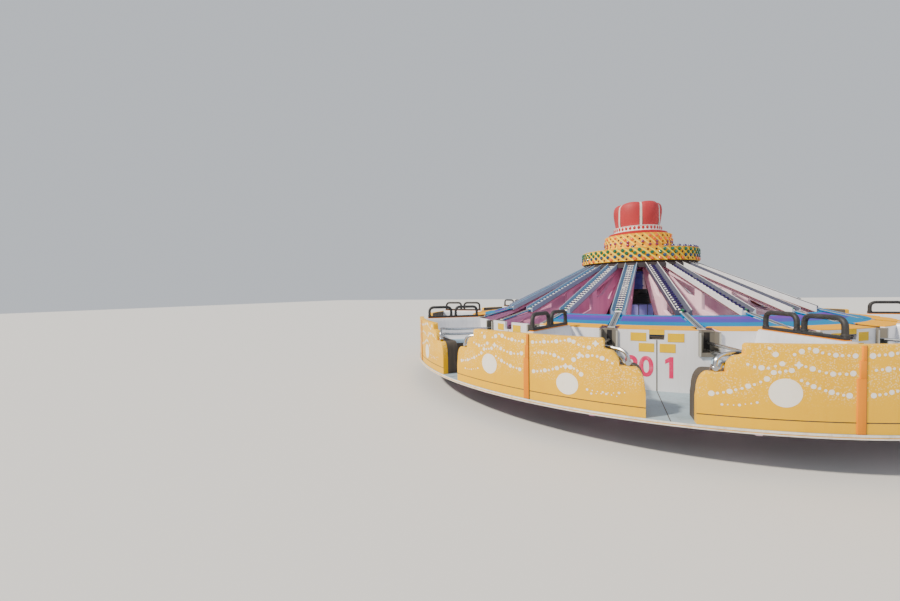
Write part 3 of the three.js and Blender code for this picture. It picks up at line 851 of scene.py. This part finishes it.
dotForm = {
    "thick": 0.001, "pitch": 0.047, "small": 0.0125, "big": 0.023, "lobed": 0.032, "jitter": 0.003,
    "markShare": 0.5,
    "sides": {  # across, height and size of the disc; flowers; ends and sag of the chains and the small marks
        1: {
            "disc": (0.473, 0.645, 0.1165), "flowers": ((0.764, 1.094), (0.605, 0.963), (0.459, 0.830)),
            "chains": ((0.080, 1.058, 0.500, 1.114, 0.004), (0.545, 1.100, 0.700, 1.046, 0.012),
                       (0.060, 0.927, 0.430, 0.904, -0.036), (0.545, 0.910, 0.920, 0.904, -0.060),
                       (0.090, 0.728, 0.410, 0.820, 0.012), (0.510, 0.825, 0.620, 0.765, -0.012)),
            "marks": ((0.680, 0.610, 1.030, 0.628, 0.014), (0.720, 0.575, 0.960, 0.582, -0.010)),
        },
        -1: {
            "disc": (0.553, 0.732, 0.125), "flowers": ((0.460, 0.975),),
            "chains": ((0.050, 1.060, 0.386, 1.115, 0.018), (0.440, 1.090, 0.492, 1.066, 0.0),
                       (0.629, 1.060, 0.673, 1.114, 0.0), (0.580, 0.983, 0.830, 0.970, 0.035),
                       (0.065, 0.915, 0.410, 0.965, 0.030), (0.511, 0.927, 0.641, 0.906, 0.0),
                       (0.690, 0.848, 1.100, 0.692, 0.025), (0.090, 0.724, 0.440, 0.841, 0.018)),
            "marks": ((0.760, 0.640, 1.020, 0.600, 0.012),),
        },
    },
}


def battenEdge(side, height):
    if side > 0:
        return panelForm["battenRight"] + panelForm["seam"]
    return max(-left for low, high, left in panelForm["battenLeft"] if height < high)


def dotLayout(side, draw, pitch, small, big, lobed, jitter, markShare, sides):
    marks = sides[side]
    spots = [(*marks["disc"], 0), *[(x, z, lobed, 1) for x, z in marks["flowers"]]]
    for scale, runs in ((1.0, marks["chains"]), (markShare, marks["marks"])):
        for x0, z0, x1, z1, sag in runs:
            count = max(1, round(hypot(x1 - x0, z1 - z0) / pitch))
            for k in range(count + 1):
                share = k / count
                size = (small if k % 3 else big) * draw.uniform(0.9, 1.1) * scale
                z = z0 + (z1 - z0) * share - sag * 4 * share * (1 - share) + draw.uniform(-1, 1) * jitter
                spots.append((x0 + (x1 - x0) * share, z, size, 0))
    return [spot for spot in spots if spot[0] - spot[2] > battenEdge(side, spot[1])]


def buildDots(thick, **values):
    draw = Random(107)
    for k in range(pairs):
        bm = bmesh.new()
        for side in (-1, 1):
            for x, z, size, lobed in dotLayout(side, draw, **values):
                facets = 40 if lobed or size > 0.1 else 12
                place = at(side * x, thick, z) @ upright
                made = bmesh.ops.create_circle(bm, cap_ends=True, segments=facets, radius=size)
                for corner in made["verts"]:
                    if lobed:
                        corner.co *= 0.78 + 0.22 * cos(4 * atan2(corner.co.y, corner.co.x))
                    corner.co = place @ corner.co
        wrapRound(bm, panelOuter, 0, 0.045, 1.26)
        for face in bm.faces:
            if face.normal.dot(face.calc_center_median() * Vector((1, 1, 0))) < 0:
                face.normal_flip()
        makePiece(numbered("dotGarland", k), placed(bm, turnedBy(pairPitch * k)), "dotWhite")


buildPanels(**panelForm)
buildDots(**dotForm)
print("panels done")


# Tubs: two benches back to back with moulded buckets, and the padded hoops on their shared back

tubForm = {
    "section": (
        (0.498, 0.4003), (0.512, 0.640), (0.520, 0.762), (0.519, 0.792), (0.507, 0.815), (0.480, 0.829),
        (0.450, 0.826), (0.380, 0.806), (0.290, 0.796), (0.200, 0.796), (0.150, 0.806), (0.118, 0.832),
        (0.100, 0.880), (0.082, 0.980), (0.064, 1.090), (0.052, 1.142), (0.040, 1.160), (0.022, 1.165),
    ),
    "cuts": 16, "bucket": (0.11, 0.47, 0.016), "backDip": (0.84, 1.12, 0.012), "seatFrom": 0.70,
    "kickFrom": 0.48, "kickTop": 0.765, "blueFrom": 0.455,
}


def buildTubs(section, cuts, bucket, backDip, seatFrom, kickFrom, kickTop, blueFrom):
    inner, outer = wallOuter + hair, panelInner - hair
    (front, back, seatDeep), (low, high, backDeep) = bucket, backDip
    bm = bar([(0, y, z) for y, z in bothHalves(section)], (1, 0, 0))
    for k in range(1, cuts):
        cut(bm, (k / cuts, 0, 0), (1, 0, 0))
    for corner in bm.verts:
        share, y, z = corner.co
        hollow = abs(sin(share * tau)) ** 0.7
        if front < abs(y) < back and seatFrom < z < low:
            z -= seatDeep * hollow * sin(pi * (abs(y) - front) / (back - front))
        if abs(y) < front and low < z < high:
            y -= copysign(backDeep * hollow * sin(pi * (z - low) / (high - low)), y)
        start, end = sqrt(inner ** 2 - y ** 2), sqrt(outer ** 2 - y ** 2)
        corner.co = (start + (end - start) * share, y, z)

    def finish(centre, normal):
        # Below the seats, the outer part takes the dark seat-front paint, a painted shade
        if centre.z < kickTop:
            return int(abs(centre.y) > kickFrom)
        return 2 if abs(centre.y) > blueFrom else 0

    makePairs("tubBench", asMesh(facedOut(paintFaces(bm, finish))), "tubWhite kickDark seatBlue",
              "seat_pair_")


hoopForm = {
    "spans": ((3.470, 3.875), (3.960, 4.365)), "foot": 1.175, "top": 1.361, "bend": 0.085, "tube": 0.0245,
    "railFrom": 3.446, "railTo": 4.392, "railHalf": 0.026, "railTop": 1.206, "collar": 0.029,
}


def buildHoops(spans, foot, top, bend, tube, railFrom, railTo, railHalf, railTop, collar):
    rail = block((railFrom, -railHalf, backTop + 0.008), (railTo, railHalf, railTop), 0.010, 3)
    wide = railHalf + 0.002
    underline = block((railFrom, -wide, backTop + 0.0005), (railTo, wide, backTop + 0.0085))
    ring = asMesh(turned([(0, railTop - 0.004), (collar, railTop - 0.004), (collar, railTop + 0.010),
                          (tube, railTop + 0.016), (0, railTop + 0.016)], 16))
    pads, fixed = bmesh.new(), joined(rail, tint(underline, 1))
    for start, end in spans:
        path = roundedPath([(start, 0, foot), (start, 0, top), (end, 0, top), (end, 0, foot)], bend, 7)
        stamp(pads, asMesh(bentTube(path, tube, 4)))
        stamp(stamp(fixed, ring, at(start)), ring, at(end))
    for hoop in makePairs("hoopPads", asMesh(pads), "hoopBlack"):
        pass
    makePairs("hoopRail", asMesh(fixed), "hoopBlack battenOrange")


# Lap bars: two chromed tubes that arch over the panel's shoulder to a pivot on its ledge

barForm = {
    "tube": 0.0185, "eye": 0.026, "pin": 0.0115,
    "upper": ((3.368, 0, 1.000), (3.80, 0, 1.013), (4.180, 0, 1.025), (4.310, 0.030, 1.042),
              (4.372, 0.120, 1.050), (4.408, 0.215, 1.046), (4.440, 0.298, 1.030), (4.459, 0.343, 0.985),
              (4.459, 0.351, 0.911)),
    "lower": ((3.368, 0, 0.915), (3.80, 0, 0.928), (4.160, 0, 0.940), (4.288, 0.026, 0.953),
              (4.346, 0.105, 0.957), (4.378, 0.190, 0.960), (4.400, 0.256, 0.957), (4.432, 0.296, 0.937),
              (4.454, 0.318, 0.915), (4.457, 0.340, 0.914)),
}
lugForm = {"back": 0.039, "front": 0.025, "foot": 0.030, "shoulder": 0.022, "chamfer": (0.012, 0.010),
           "rise": 0.024}


def buildLapBars(tube, eye, pin, upper, lower):
    toPivot = at(pivotAlong, pivotAcross, pivotHeight) @ sideways
    ring = [(0, -0.024), (eye - 0.003, -0.024), (eye, -0.021), (eye, 0.019), (eye - 0.003, 0.022), (0, 0.022)]
    stub = [(0, -0.046), (pin, -0.046), (pin, -0.020), (0, -0.020)]
    right = asMesh(joined(bentTube(upper, tube, smooth=True), bentTube(lower, tube, smooth=True),
                          placed(turned(ring, 20), toPivot), tint(placed(turned(stub, 12), toPivot), 1)))
    left = asMesh(placed(copyOf(right), scaledBy(1, -1, 1)))
    for k in range(2 * pairs):
        side = 1 if k % 2 == 0 else -1
        bm = copyOf(right if side > 0 else left, turnedBy(pairPitch * (k // 2) + side * barAngle))
        body = numbered("lap_bar_", k)
        makePiece(numbered("lapBar", k), bm, "chrome fittingBrown", body, body)


def buildLugs(back, front, foot, shoulder, chamfer, rise):
    low, high = ledgeTop - 0.001, pivotHeight + rise
    outline = bothHalves([(foot, low), (shoulder, high - chamfer[1]), (shoulder - chamfer[0], high)])
    plate = placed(slab([(pivotAcross + x, z) for x, z in outline], back - front),
                   at(pivotAlong - back) @ turnedBy(90))
    base = block((pivotAlong - 0.050, pivotAcross - 0.040, ledgeTop - 0.004),
                 (pivotAlong - 0.022, pivotAcross + 0.040, ledgeTop + 0.003), 0.001, 1)
    lug = asMesh(joined(plate, base))
    bm = joined(*[placed(copyOf(lug), turnedBy(pairPitch * k + side * barAngle) @ scaledBy(1, side, 1))
                  for k in range(pairs) for side in (-1, 1)])
    makePiece("pivotLugs", bm, "fittingBrown")


buildTubs(**tubForm)
buildHoops(**hoopForm)
buildLapBars(**barForm)
buildLugs(**lugForm)
print("tubs and lap bars done")


# Light channels: open boxes with white rungs, violet lamps and a green end lamp, then a strip to the lock box

channelForm = {
    "section": ((-0.100, -channelDeep), (-0.100, 0.0), (-0.090, 0.0), (-0.044, -troughDeep),
                (0.044, -troughDeep), (0.090, 0.0), (0.100, 0.0), (0.100, -channelDeep)),
    "foot": 0.010, "count": 24, "rungFrom": -0.046, "rungTo": (-0.020, 0.046, 0.046, -0.020),
    "rungWide": 0.027, "rungHigh": 0.016, "lampAcross": 0.022, "lamp": (0.018, 0.030),
    "endLamp": (0.026, 0.034, 12), "missing": 0.06, "shadedSide": 279,
    # Per quarter: sunlit side paint right of the mast (first and last quarter) and shaded side paint left of
    # it; the first quarter's flanks are a sunlit copy and the last quarter's a shaded copy: painted light and
    # shade
    "colours": (("channelPale", "channelRim", "flankPale"), ("channelSide", "rimBlue", "channelFlank"),
                ("channelSide", "rimBlue", "channelFlank"), ("channelPale", "channelRim", "flankDark")),
}
stripForm = {"half": 0.045, "flange": 0.008, "edge": 0.004, "line": 0.004, "dip": 0.003, "endPlate": 0.006,
             "bolt": 0.007, "boltsAt": (2.72, 2.86, 3.00, 3.14)}
boxForm = {
    "shell": 0.107, "shellBottom": 0.844, "back": 3.335, "plate": 3.426, "pocket": 0.080, "sill": 0.888,
    "pocketBack": 3.350, "slot": (0.030, 0.925, 1.119), "latchHalf": 0.052, "frame": 0.017,
}


def onSlope(radius, across=0.0):
    return at(radius, across, sweepTop(radius) - troughDeep) @ Matrix.Rotation(atan(sweepSlope), 4, "Y")


def channelTrough(section, foot, outside=0):
    bm = bar([(sweepInner, y, z) for y, z in section], (sweepEnd - sweepInner, 0, 0))
    footTop = foot - channelDeep
    cut(bm, (0, 0, footTop), (0, 0, 1))
    facedOut(bm)
    rim = [e for e in bm.edges if all(abs(v.co.z) < 0.0001 for v in e.verts) and e.calc_length() > 1]
    softenEdges(bm, rim, 0.0025, 1)

    def finish(centre, normal):
        # The channel's foot and underside take the red-brown painted shade line
        if centre.z < footTop + 0.0001:
            return 4
        if abs(centre.y) > 0.088:
            return 1 if centre.z > -0.003 else outside
        if abs(normal.x) > 0.5:
            return outside
        return 2 if abs(centre.y) < 0.040 else 3

    paintFaces(bm, finish)
    return placed(bm, Matrix(((1, 0, 0, 0), (0, 1, 0, 0), (-sweepSlope, 0, 1, sweepTop(0)), (0, 0, 0, 1))))


def lampCap(radius, height, sides=8):
    return asMesh(turned([(0, 0), (radius, 0), (radius * 0.96, height * 0.45), (radius * 0.66, height * 0.85),
                          (0, height)], sides))


def bandStrip(half, flange, edge, line, dip, endPlate, bolt, boltsAt):
    start, end, rim = stripFrom + 0.020, stripTo, half - flange
    under, low = stripThick - 0.0005, coverTop + 0.0005

    def rail(left, right, drop, index):
        ends = [(start, under), (end, under), (end, drop), (start, drop)]
        return tint(slab([(x, stripTop(x) - down) for x, down in ends], right - left, right), index)

    rails = [rail(-rim, rim, dip, 0), rail(-line, line, dip - 0.001, 5)]
    for near, far, drop, index in ((rim - edge, rim + 0.0005, 0.001, 1), (rim, half, dip + 0.003, 4)):
        rails += [rail(-far, -near, drop, index), rail(near, far, drop, index)]
    plate = block((end, -half, low + 0.006), (end + endPlate, half, stripTop(end) + 0.002))
    # A black strip under the end plate: painted shadow
    gap = block((end, -half, low), (end + endPlate - 0.001, half, low + 0.006))
    head = [(0, -0.003), (bolt, -0.003), (bolt, 0.003), (0, 0.003)]
    bolts = [tint(placed(turned(head, 6), at(radius, 0, stripTop(radius) - dip)), 3) for radius in boltsAt]
    return asMesh(joined(*rails, tint(plate, 2), *bolts, tint(gap, 5)))


def lockBox(shell, shellBottom, back, plate, pocket, sill, pocketBack, slot, latchHalf, frame):
    top, near, front, behind = coverTop, pocketBack - 0.001, boxFront, plate + 0.001
    slotHalf, slotLow, slotHigh = slot
    latch = block((pocketBack - 0.030, -latchHalf, top + 0.0005),
                  (pocketBack - 0.008, latchHalf, top + 0.010), 0.003, 1)
    parts = [
        block((coverFrom, -shell, top - coverThick), (pocketBack, shell, top), 0.003, 1),
        block((back, -shell, shellBottom), (pocketBack, shell, top - 0.004)),
        block((near, -shell, shellBottom), (behind, shell, sill)),
        block((plate, -boxHalf, boxBottom), (front, boxHalf, sill), 0.001, 1),
        # A black plate on the pocket's back wall stands for the slot's dark inside: painted shade
        tint(block((pocketBack, -slotHalf, slotLow), (pocketBack + 0.001, slotHalf, slotHigh)), 2),
        tint(latch, 3),
    ]
    for side in (-1, 1):
        shellSide, plateSide, frameSide = [sorted((side * a, side * b)) for a, b in (
            (pocket, shell), (pocket, boxHalf), (boxHalf - frame, boxHalf + 0.001))]
        parts += [
            block((near, shellSide[0], sill - 0.001), (behind, shellSide[1], top)),
            block((plate, plateSide[0], sill - 0.001), (front, plateSide[1], boxTop), 0.001, 1),
            tint(block((front - 0.002, frameSide[0], boxBottom),
                       (front + 0.0025, frameSide[1], boxTop - 0.010)), 1),
        ]
    return asMesh(joined(*parts))


def buildChannels(section, foot, count, rungFrom, rungTo, rungWide, rungHigh, lampAcross, lamp, endLamp,
                  missing, shadedSide, colours):
    draw = Random(4)
    # At the shaded side's angle the trough's outer sides take the flank paint: painted shade on that side
    trough, shadedTrough = [asMesh(channelTrough(section, foot, outside)) for outside in (0, 3)]
    strip, box, cap, endCap = bandStrip(**stripForm), lockBox(**boxForm), lampCap(*lamp), lampCap(*endLamp)
    first, last, half = sweepInner + 0.05, sweepEnd - 0.02, rungWide / 2
    pitch = (last - first) / (count - 1)
    for quarter in range(4):
        rung = asMesh(block((-half, rungFrom, 0.0005), (half, rungTo[quarter], rungHigh), 0.003, 1))
        troughs, rungs, lamps, ends, strips, boxes = [bmesh.new() for part in range(6)]
        for k in range(5):
            angle = sweepOffset + sweepPitch * k + 90 * quarter
            turn = turnedBy(angle)
            for step in range(count):
                stamp(rungs, rung, turn @ onSlope(first + pitch * step))
            for step in range(count - 1):
                for side in (-1, 1):
                    if draw.random() > missing:
                        stamp(lamps, cap, turn @ onSlope(first + pitch * (step + 0.5), side * lampAcross))
            stamp(troughs, shadedTrough if angle == shadedSide else trough, turn)
            stamp(ends, endCap, turn @ onSlope(sweepEnd - 0.055))
            stamp(strips, strip, turn)
            stamp(boxes, box, turn)
        side, rim, flank = colours[quarter]
        makePiece(numbered("lightTrough", quarter), troughs, f"{side} {rim} channelFloor {flank} footRed",
                  numbered("light_channels_", quarter))
        for name, bm, materials in (
                ("troughRungs", rungs, "rungWhite"), ("troughLamps", lamps, "capViolet"),
                ("troughEnds", ends, "capGreen"),
                ("bandStrips", strips, "stripGrey boxFrame rungWhite boltSteel railCyan slotBlack"),
                ("lockBoxes", boxes, "boxGrey boxFrame slotBlack fittingBrown")):
            makePiece(numbered(name, quarter), bm, materials)


# Sweep frames: the pink welded webs under the channels

webForm = {
    "holes": (
        ((0.960, 1.930), (1.440, 1.560), (1.660, 1.500), (1.660, 1.640)),
        ((0.860, 1.785), (1.300, 1.490), (1.200, 1.445)),
        ((1.810, 1.580), (2.640, 1.175), (3.200, 0.985), (3.200, 0.900), (1.810, 1.300)),
        ((1.991, 1.148), (3.200, 0.800), (3.200, 0.456)),
        ((1.810, 1.148), (1.810, 0.831), (2.261, 0.380), (3.144, 0.380)),
    ),
    "thick": 0.058, "edge": 0.006, "innerTop": 2.105, "bend": 2.627, "end": 3.320, "outrigger": 4.440,
    "foot": ((4.440, 0.320), (3.400, 0.270), (2.230, 0.270), (0.500, 2.035)),
    # Sunlit web paint on the quarters right of the mast, shaded web paint on those left of it
    "colours": ("trussSunlitPink", "trussShadedMauve", "trussShadedMauve", "trussSunlitPink"),
    "hubRing": ((0.4703, 2.030), (0.560, 2.030), (0.560, 2.104), (0.4703, 2.104)),
    "collar": ((1.030, 2.036), (1.075, 2.036), (1.075, 2.106), (1.030, 2.126)),
}


def buildFrames(holes, thick, edge, innerTop, bend, end, outrigger, foot, colours, hubRing, collar):
    drop = channelDeep + hair
    flatEnd = sweepInner + (sweepInnerTop - drop - innerTop) / sweepSlope
    underCover, underFloor = coverTop - coverThick - hair, floorBottom - hair
    outline = [(0.500, innerTop), (flatEnd, innerTop), (bend, sweepTop(bend) - drop), (coverFrom, underCover),
               (end, underCover), (end, underFloor), (outrigger, underFloor), *foot]
    web = asMesh(flatPlate([outline, *holes], thick, edge))
    for quarter in range(4):
        bm = bmesh.new()
        for k in range(5):
            stamp(bm, web, turnedBy(sweepOffset + sweepPitch * k + 90 * quarter))
        makePiece(numbered("sweepWebs", quarter), bm, colours[quarter],
                  numbered("sweep_frame_", quarter))
    makePiece("hubRing", turned(hubRing, 80), "hubMagenta")
    makePiece("troughCollar", turned(collar, 120), "hubDark")


buildChannels(**channelForm)
buildFrames(**webForm)
print("sweeps done")


# Crown: two yellow drums set with lamp caps, the white band of red ovals, and the puffed red cap

drumForms = {  # a row of lamps has its colour, its height, its shift round the drum and the share left
    "lowerDrum": {
        "node": "crown_lower_drum", "seed": 11, "radius": 1.055, "bottom": 2.1303, "face": 2.158,
        "top": 2.400, "lamps": 48, "cap": (0.033, 0.026), "phase": 0.612, "rowPitch": 0.0545,
        "rows": (("capGreen", 2.356, 0.773, 0.93), ("capGreen", 2.303, 0.247, 0.90),
                 ("capBlue", 2.248, 0.773, 0.84), ("capOrange", 2.192, 0.247, 0.74)),
    },
    "upperDrum": {
        "node": "crown_upper_drum", "seed": 12, "radius": 0.615, "bottom": 2.4003, "face": 2.415,
        "top": 2.715, "lamps": 30, "cap": (0.031, 0.022), "phase": 0.910, "rowPitch": 0.0575,
        "rows": (("capOrange", 2.663, 0.908, 0.12), ("capOrange", 2.606, 0.492, 0.66),
                 ("capPurple", 2.548, 0.933, 0.90), ("capPurple", 2.490, 0.925, 0.30)),
    },
}
rimForm = {"radius": 1.020, "height": 2.4003, "lamps": 48, "cap": (0.032, 0.044), "front": 0.15,
           "sides": 0.92}


def buildDrum(name, node, seed, radius, bottom, face, top, lamps, cap, phase, rowPitch, rows):
    proud = radius + 0.004
    bm = turned([
        (0, bottom), (radius - 0.032, bottom), (radius - 0.006, face - 0.006), (radius, face),
        (proud, face + 0.004), (proud, face + 0.010), (radius, face + 0.014), (radius, top - 0.014),
        (proud, top - 0.010), (proud - 0.001, top - 0.003), (radius - 0.004, top), (0, top)], 120)
    paintFaces(bm, lambda centre, normal: 2 if normal.z > 0.9 else int(centre.z < face - 0.001))
    # Each drum's face paint carries painted light and shade in diagonal stripes between the lamps
    makeLattice(name + "Paint", lamps, rowPitch, phase)
    makePiece(name, bm, name + "Paint drumRim drumTop", node)
    draw = Random(seed)
    glass, socket = lampCap(*cap, 12), lampCap(cap[0] * 0.62, 0.005, 10)
    colours, sockets = {}, bmesh.new()
    for colour, height, shift, share in rows:
        for k in range(lamps):
            place = turnedBy(360 * (k + shift) / lamps) @ at(radius - 0.001, 0, height) @ sideways
            if draw.random() < share:
                stamp(colours.setdefault(colour, bmesh.new()), glass, place)
            else:
                stamp(sockets, socket, place)
    for colour, made in colours.items():
        makePiece(name + colour[0].upper() + colour[1:], made, colour)
    makePiece(name + "Sockets", sockets, "socketDark")


def buildRimLamps(radius, height, lamps, cap, front, sides):
    # The row on the lower drum's rim: kept at the right and behind, mostly lost at the left and in front
    draw = Random(13)
    kept, sockets = bmesh.new(), bmesh.new()
    glass, socket = lampCap(*cap, 12), lampCap(cap[0] * 0.7, 0.006, 10)
    for k in range(lamps):
        angle = 360 * k / lamps
        place = turnedBy(angle) @ at(radius, 0, height)
        if draw.random() < (front if 160 < angle < 290 else sides):
            stamp(kept, glass, place)
        else:
            stamp(sockets, socket, place)
    makePiece("rimLamps", kept, "capViolet")
    makePiece("rimSockets", sockets, "socketDark")


jewelForm = {"trim": 0.540, "band": 0.443, "bottom": 2.7153, "trimTop": 2.792, "top": 2.893, "ovals": 36,
             "ovalHeight": 2.845, "oval": (0.008, 0.027, 0.034)}


def buildJewelBand(trim, band, bottom, trimTop, top, ovals, ovalHeight, oval):
    low, proud, sunk = trimTop, band + 0.005, band - 0.004
    white = turned([
        (0, low - 0.02), (band + 0.004, low - 0.02), (band + 0.004, low + 0.008), (sunk, low + 0.012),
        (sunk, top - 0.012), (proud, top - 0.008), (proud, top - 0.002), (band, top), (0, top)])
    makePiece("jewelBand", white, "jewelWhite", "jewel_band")
    red = turned([
        (0.40, bottom), (trim - 0.006, bottom), (trim, bottom + 0.006), (trim, low - 0.028),
        (trim - 0.010, low - 0.020), (0.46, low), (0.40, low)])
    makePiece("redTrim", red, "trimRed")
    bm = bmesh.new()
    for k in range(ovals):
        place = turnedBy(360 * k / ovals) @ at(sunk, 0, ovalHeight) @ scaledBy(*oval)
        bmesh.ops.create_icosphere(bm, subdivisions=2, radius=1, matrix=place)
    makePiece("redOvals", bm, "ovalRed")


capForm = {
    "profile": ((0, 2.8933), (0.398, 2.8933), (0.405, 2.925), (0.416, 2.975), (0.4255, 3.030),
                (0.438, 3.110), (0.4465, 3.180), (0.4465, 3.240), (0.437, 3.300), (0.418, 3.342),
                (0.388, 3.368), (0.345, 3.381), (0.295, 3.382), (0.235, 3.365), (0.165, 3.335),
                (0.085, 3.314), (0, 3.307)),
    "lobes": 6, "ribAngle": 35.7, "depth": 0.09, "foot": 2.893, "full": 3.230,
    "ribDip": 0.022, "dipFrom": 3.310, "ribHalf": 0.020, "ribProud": 0.010, "seamHalf": 0.027,
    "knob": ((0, 3.297), (0.085, 3.297), (0.090, 3.322), (0.070, 3.337), (0.035, 3.349), (0, 3.352)),
}


def buildCap(profile, lobes, ribAngle, depth, foot, full, ribDip, dipFrom, ribHalf, ribProud, seamHalf, knob):

    def puffed(swell, height):
        high = min(1, max(0, (height - foot) / (full - foot)))
        lift = -ribDip * (1 - swell) if height > dipFrom else 0
        return 1 - depth * high * high * (3 - 2 * high) * (1 - swell), height + lift

    bm = turned(profile)
    for corner in bm.verts:
        x, y, z = corner.co
        share, height = puffed(abs(sin((atan2(y, x) - radians(ribAngle)) * lobes / 2)) ** 0.7, z)
        corner.co = (x * share, y * share, height)
    makePiece("crownCap", bm, "crownRed", "crown_cap", sharp=60)

    path = [(radius * puffed(0, height)[0], puffed(0, height)[1]) for radius, height in profile[1:-1]]
    brim = dipFrom - 0.010
    outer = [(r + ribProud * (1 if z < brim else 0.3), z + (0 if z < brim else ribProud)) for r, z in path]
    inner = [(max(r - 0.02, 0.01), z - (0 if z < brim else 0.012)) for r, z in path]
    rib = slab(outer + inner[::-1], 2 * ribHalf, ribHalf)
    softenEdges(rib, [e for e in rib.edges if e.calc_face_angle(0) > 1.2], 0.003, 1)
    # A wider dark slab under each rib: painted shadow lines along both sides of the rib
    low = [((a + c) / 2, (b + d) / 2) for (a, b), (c, d) in zip(outer, path)]
    seam = slab(low + inner[::-1], 2 * seamHalf, seamHalf)
    ribs = ringOf(asMesh(joined(rib, tint(seam, 1))), lobes, ribAngle)
    makePiece("crownRibs", joined(ribs, turned(knob, 32)), "ribSilver seamDark")


for drumName, drumForm in drumForms.items():
    buildDrum(drumName, **drumForm)
buildRimLamps(**rimForm)
buildJewelBand(**jewelForm)
buildCap(**capForm)
print("crown done")


# Mast, drive unit, shroud and base

shroudForm = {"radius": 0.330, "sides": 12, "bottom": 0.280, "top": 1.338, "inset": 0.014, "dip": 0.010,
              "skirt": ((0, 0.2403), (0.430, 0.2403), (0.430, 0.274))}
driveForm = {
    "inner": 0.103, "outer": 0.230, "neck": 0.176, "groove": 0.022, "ribs": 5, "bottom": 1.3403,
    "shoulder": 1.540, "top": 1.640, "motors": 3, "motorAngle": 20, "motorRadius": 0.172,
    "motor": ((0, 1.420), (0.052, 1.420), (0.055, 1.432), (0.055, 1.600), (0.040, 1.618), (0, 1.618)),
}
mastForm = {
    "tube": ((0, 1.3403), (0.100, 1.3403), (0.100, 1.690), (0.112, 1.696), (0.112, 1.716), (0.100, 1.722),
             (0.100, 1.840), (0.108, 1.846), (0.108, 1.858), (0.100, 1.864), (0.100, 1.940), (0.118, 1.960),
             (0.178, 1.962), (0.180, 1.968), (0.180, 1.998), (0.176, 2.000), (0, 2.000)),
    "bolt": ((0, 1.945), (0.010, 1.945), (0.010, 1.9635), (0, 1.9635)), "bolts": 12, "boltRadius": 0.152,
    "footBolt": ((0, 0.024), (0.034, 0.024), (0.034, 0.030), (0.020, 0.031), (0.020, 0.050), (0.016, 0.053),
                 (0, 0.053)),
    "footBoltsAt": ((2.310, -0.190), (2.310, 0.190), (2.690, -0.190), (2.690, 0.190)),
}


def buildShroud(radius, sides, bottom, top, inset, dip, skirt):
    bm = turned([*skirt, (0.424, bottom), (radius, bottom), (radius, top), (0, top)], sides)
    flats = [f for f in bm.faces if abs(f.normal.z) < 0.1 and f.calc_center_median().xy.length < 0.36]
    rim = bmesh.ops.inset_individual(bm, faces=flats, thickness=inset, depth=-dip)
    for face in rim["faces"]:
        face.material_index = 1
    makePiece("mastShroud", bm, "shroudBlue notchDark", "mast_shroud", "base")


def buildDrive(inner, outer, neck, groove, ribs, bottom, shoulder, top, motors, motorAngle, motorRadius,
               motor):
    profile, pitch = [(inner, bottom), (outer, bottom)], (shoulder - bottom) / ribs
    for k in range(ribs):
        base = bottom + pitch * k
        profile += [(outer, base + pitch * 0.6), (outer - groove, base + pitch * 0.68),
                    (outer - groove, base + pitch * 0.94), (outer - 0.002, base + pitch)]
    profile += [(neck, shoulder + 0.014), (neck, top), (inner, top)]
    can = asMesh(placed(turned(motor, 20), at(motorRadius)))
    bm = joined(turned(profile, 48), ringOf(can, motors, motorAngle))
    makePiece("driveUnit", bm, "driveBlack", "drive_unit", "base")


def buildMast(tube, bolt, bolts, boltRadius, footBolt, footBoltsAt):
    makePiece("mastTube", turned(tube, 40), "mastNavy", "mast", "base")
    head = asMesh(placed(turned(bolt, 6), at(boltRadius)))
    makePiece("mastBolts", ringOf(head, bolts), "boltSteel", body="base")
    foot = asMesh(joined(*[placed(turned(footBolt, 6), at(x, y)) for x, y in footBoltsAt]))
    makePiece("footBolts", ringOf(foot, 4, 45), "boltSteel", body="base")


def paintNode(node, material):
    piece = frame["nodes"][node]
    piece.data.materials.clear()
    piece.data.materials.append(paints[material])


buildShroud(**shroudForm)
buildDrive(**driveForm)
buildMast(**mastForm)
paintNode("base_frame", "groundSteel")
paintNode("wheel_hub", "hubDark")
print("mast and base done")
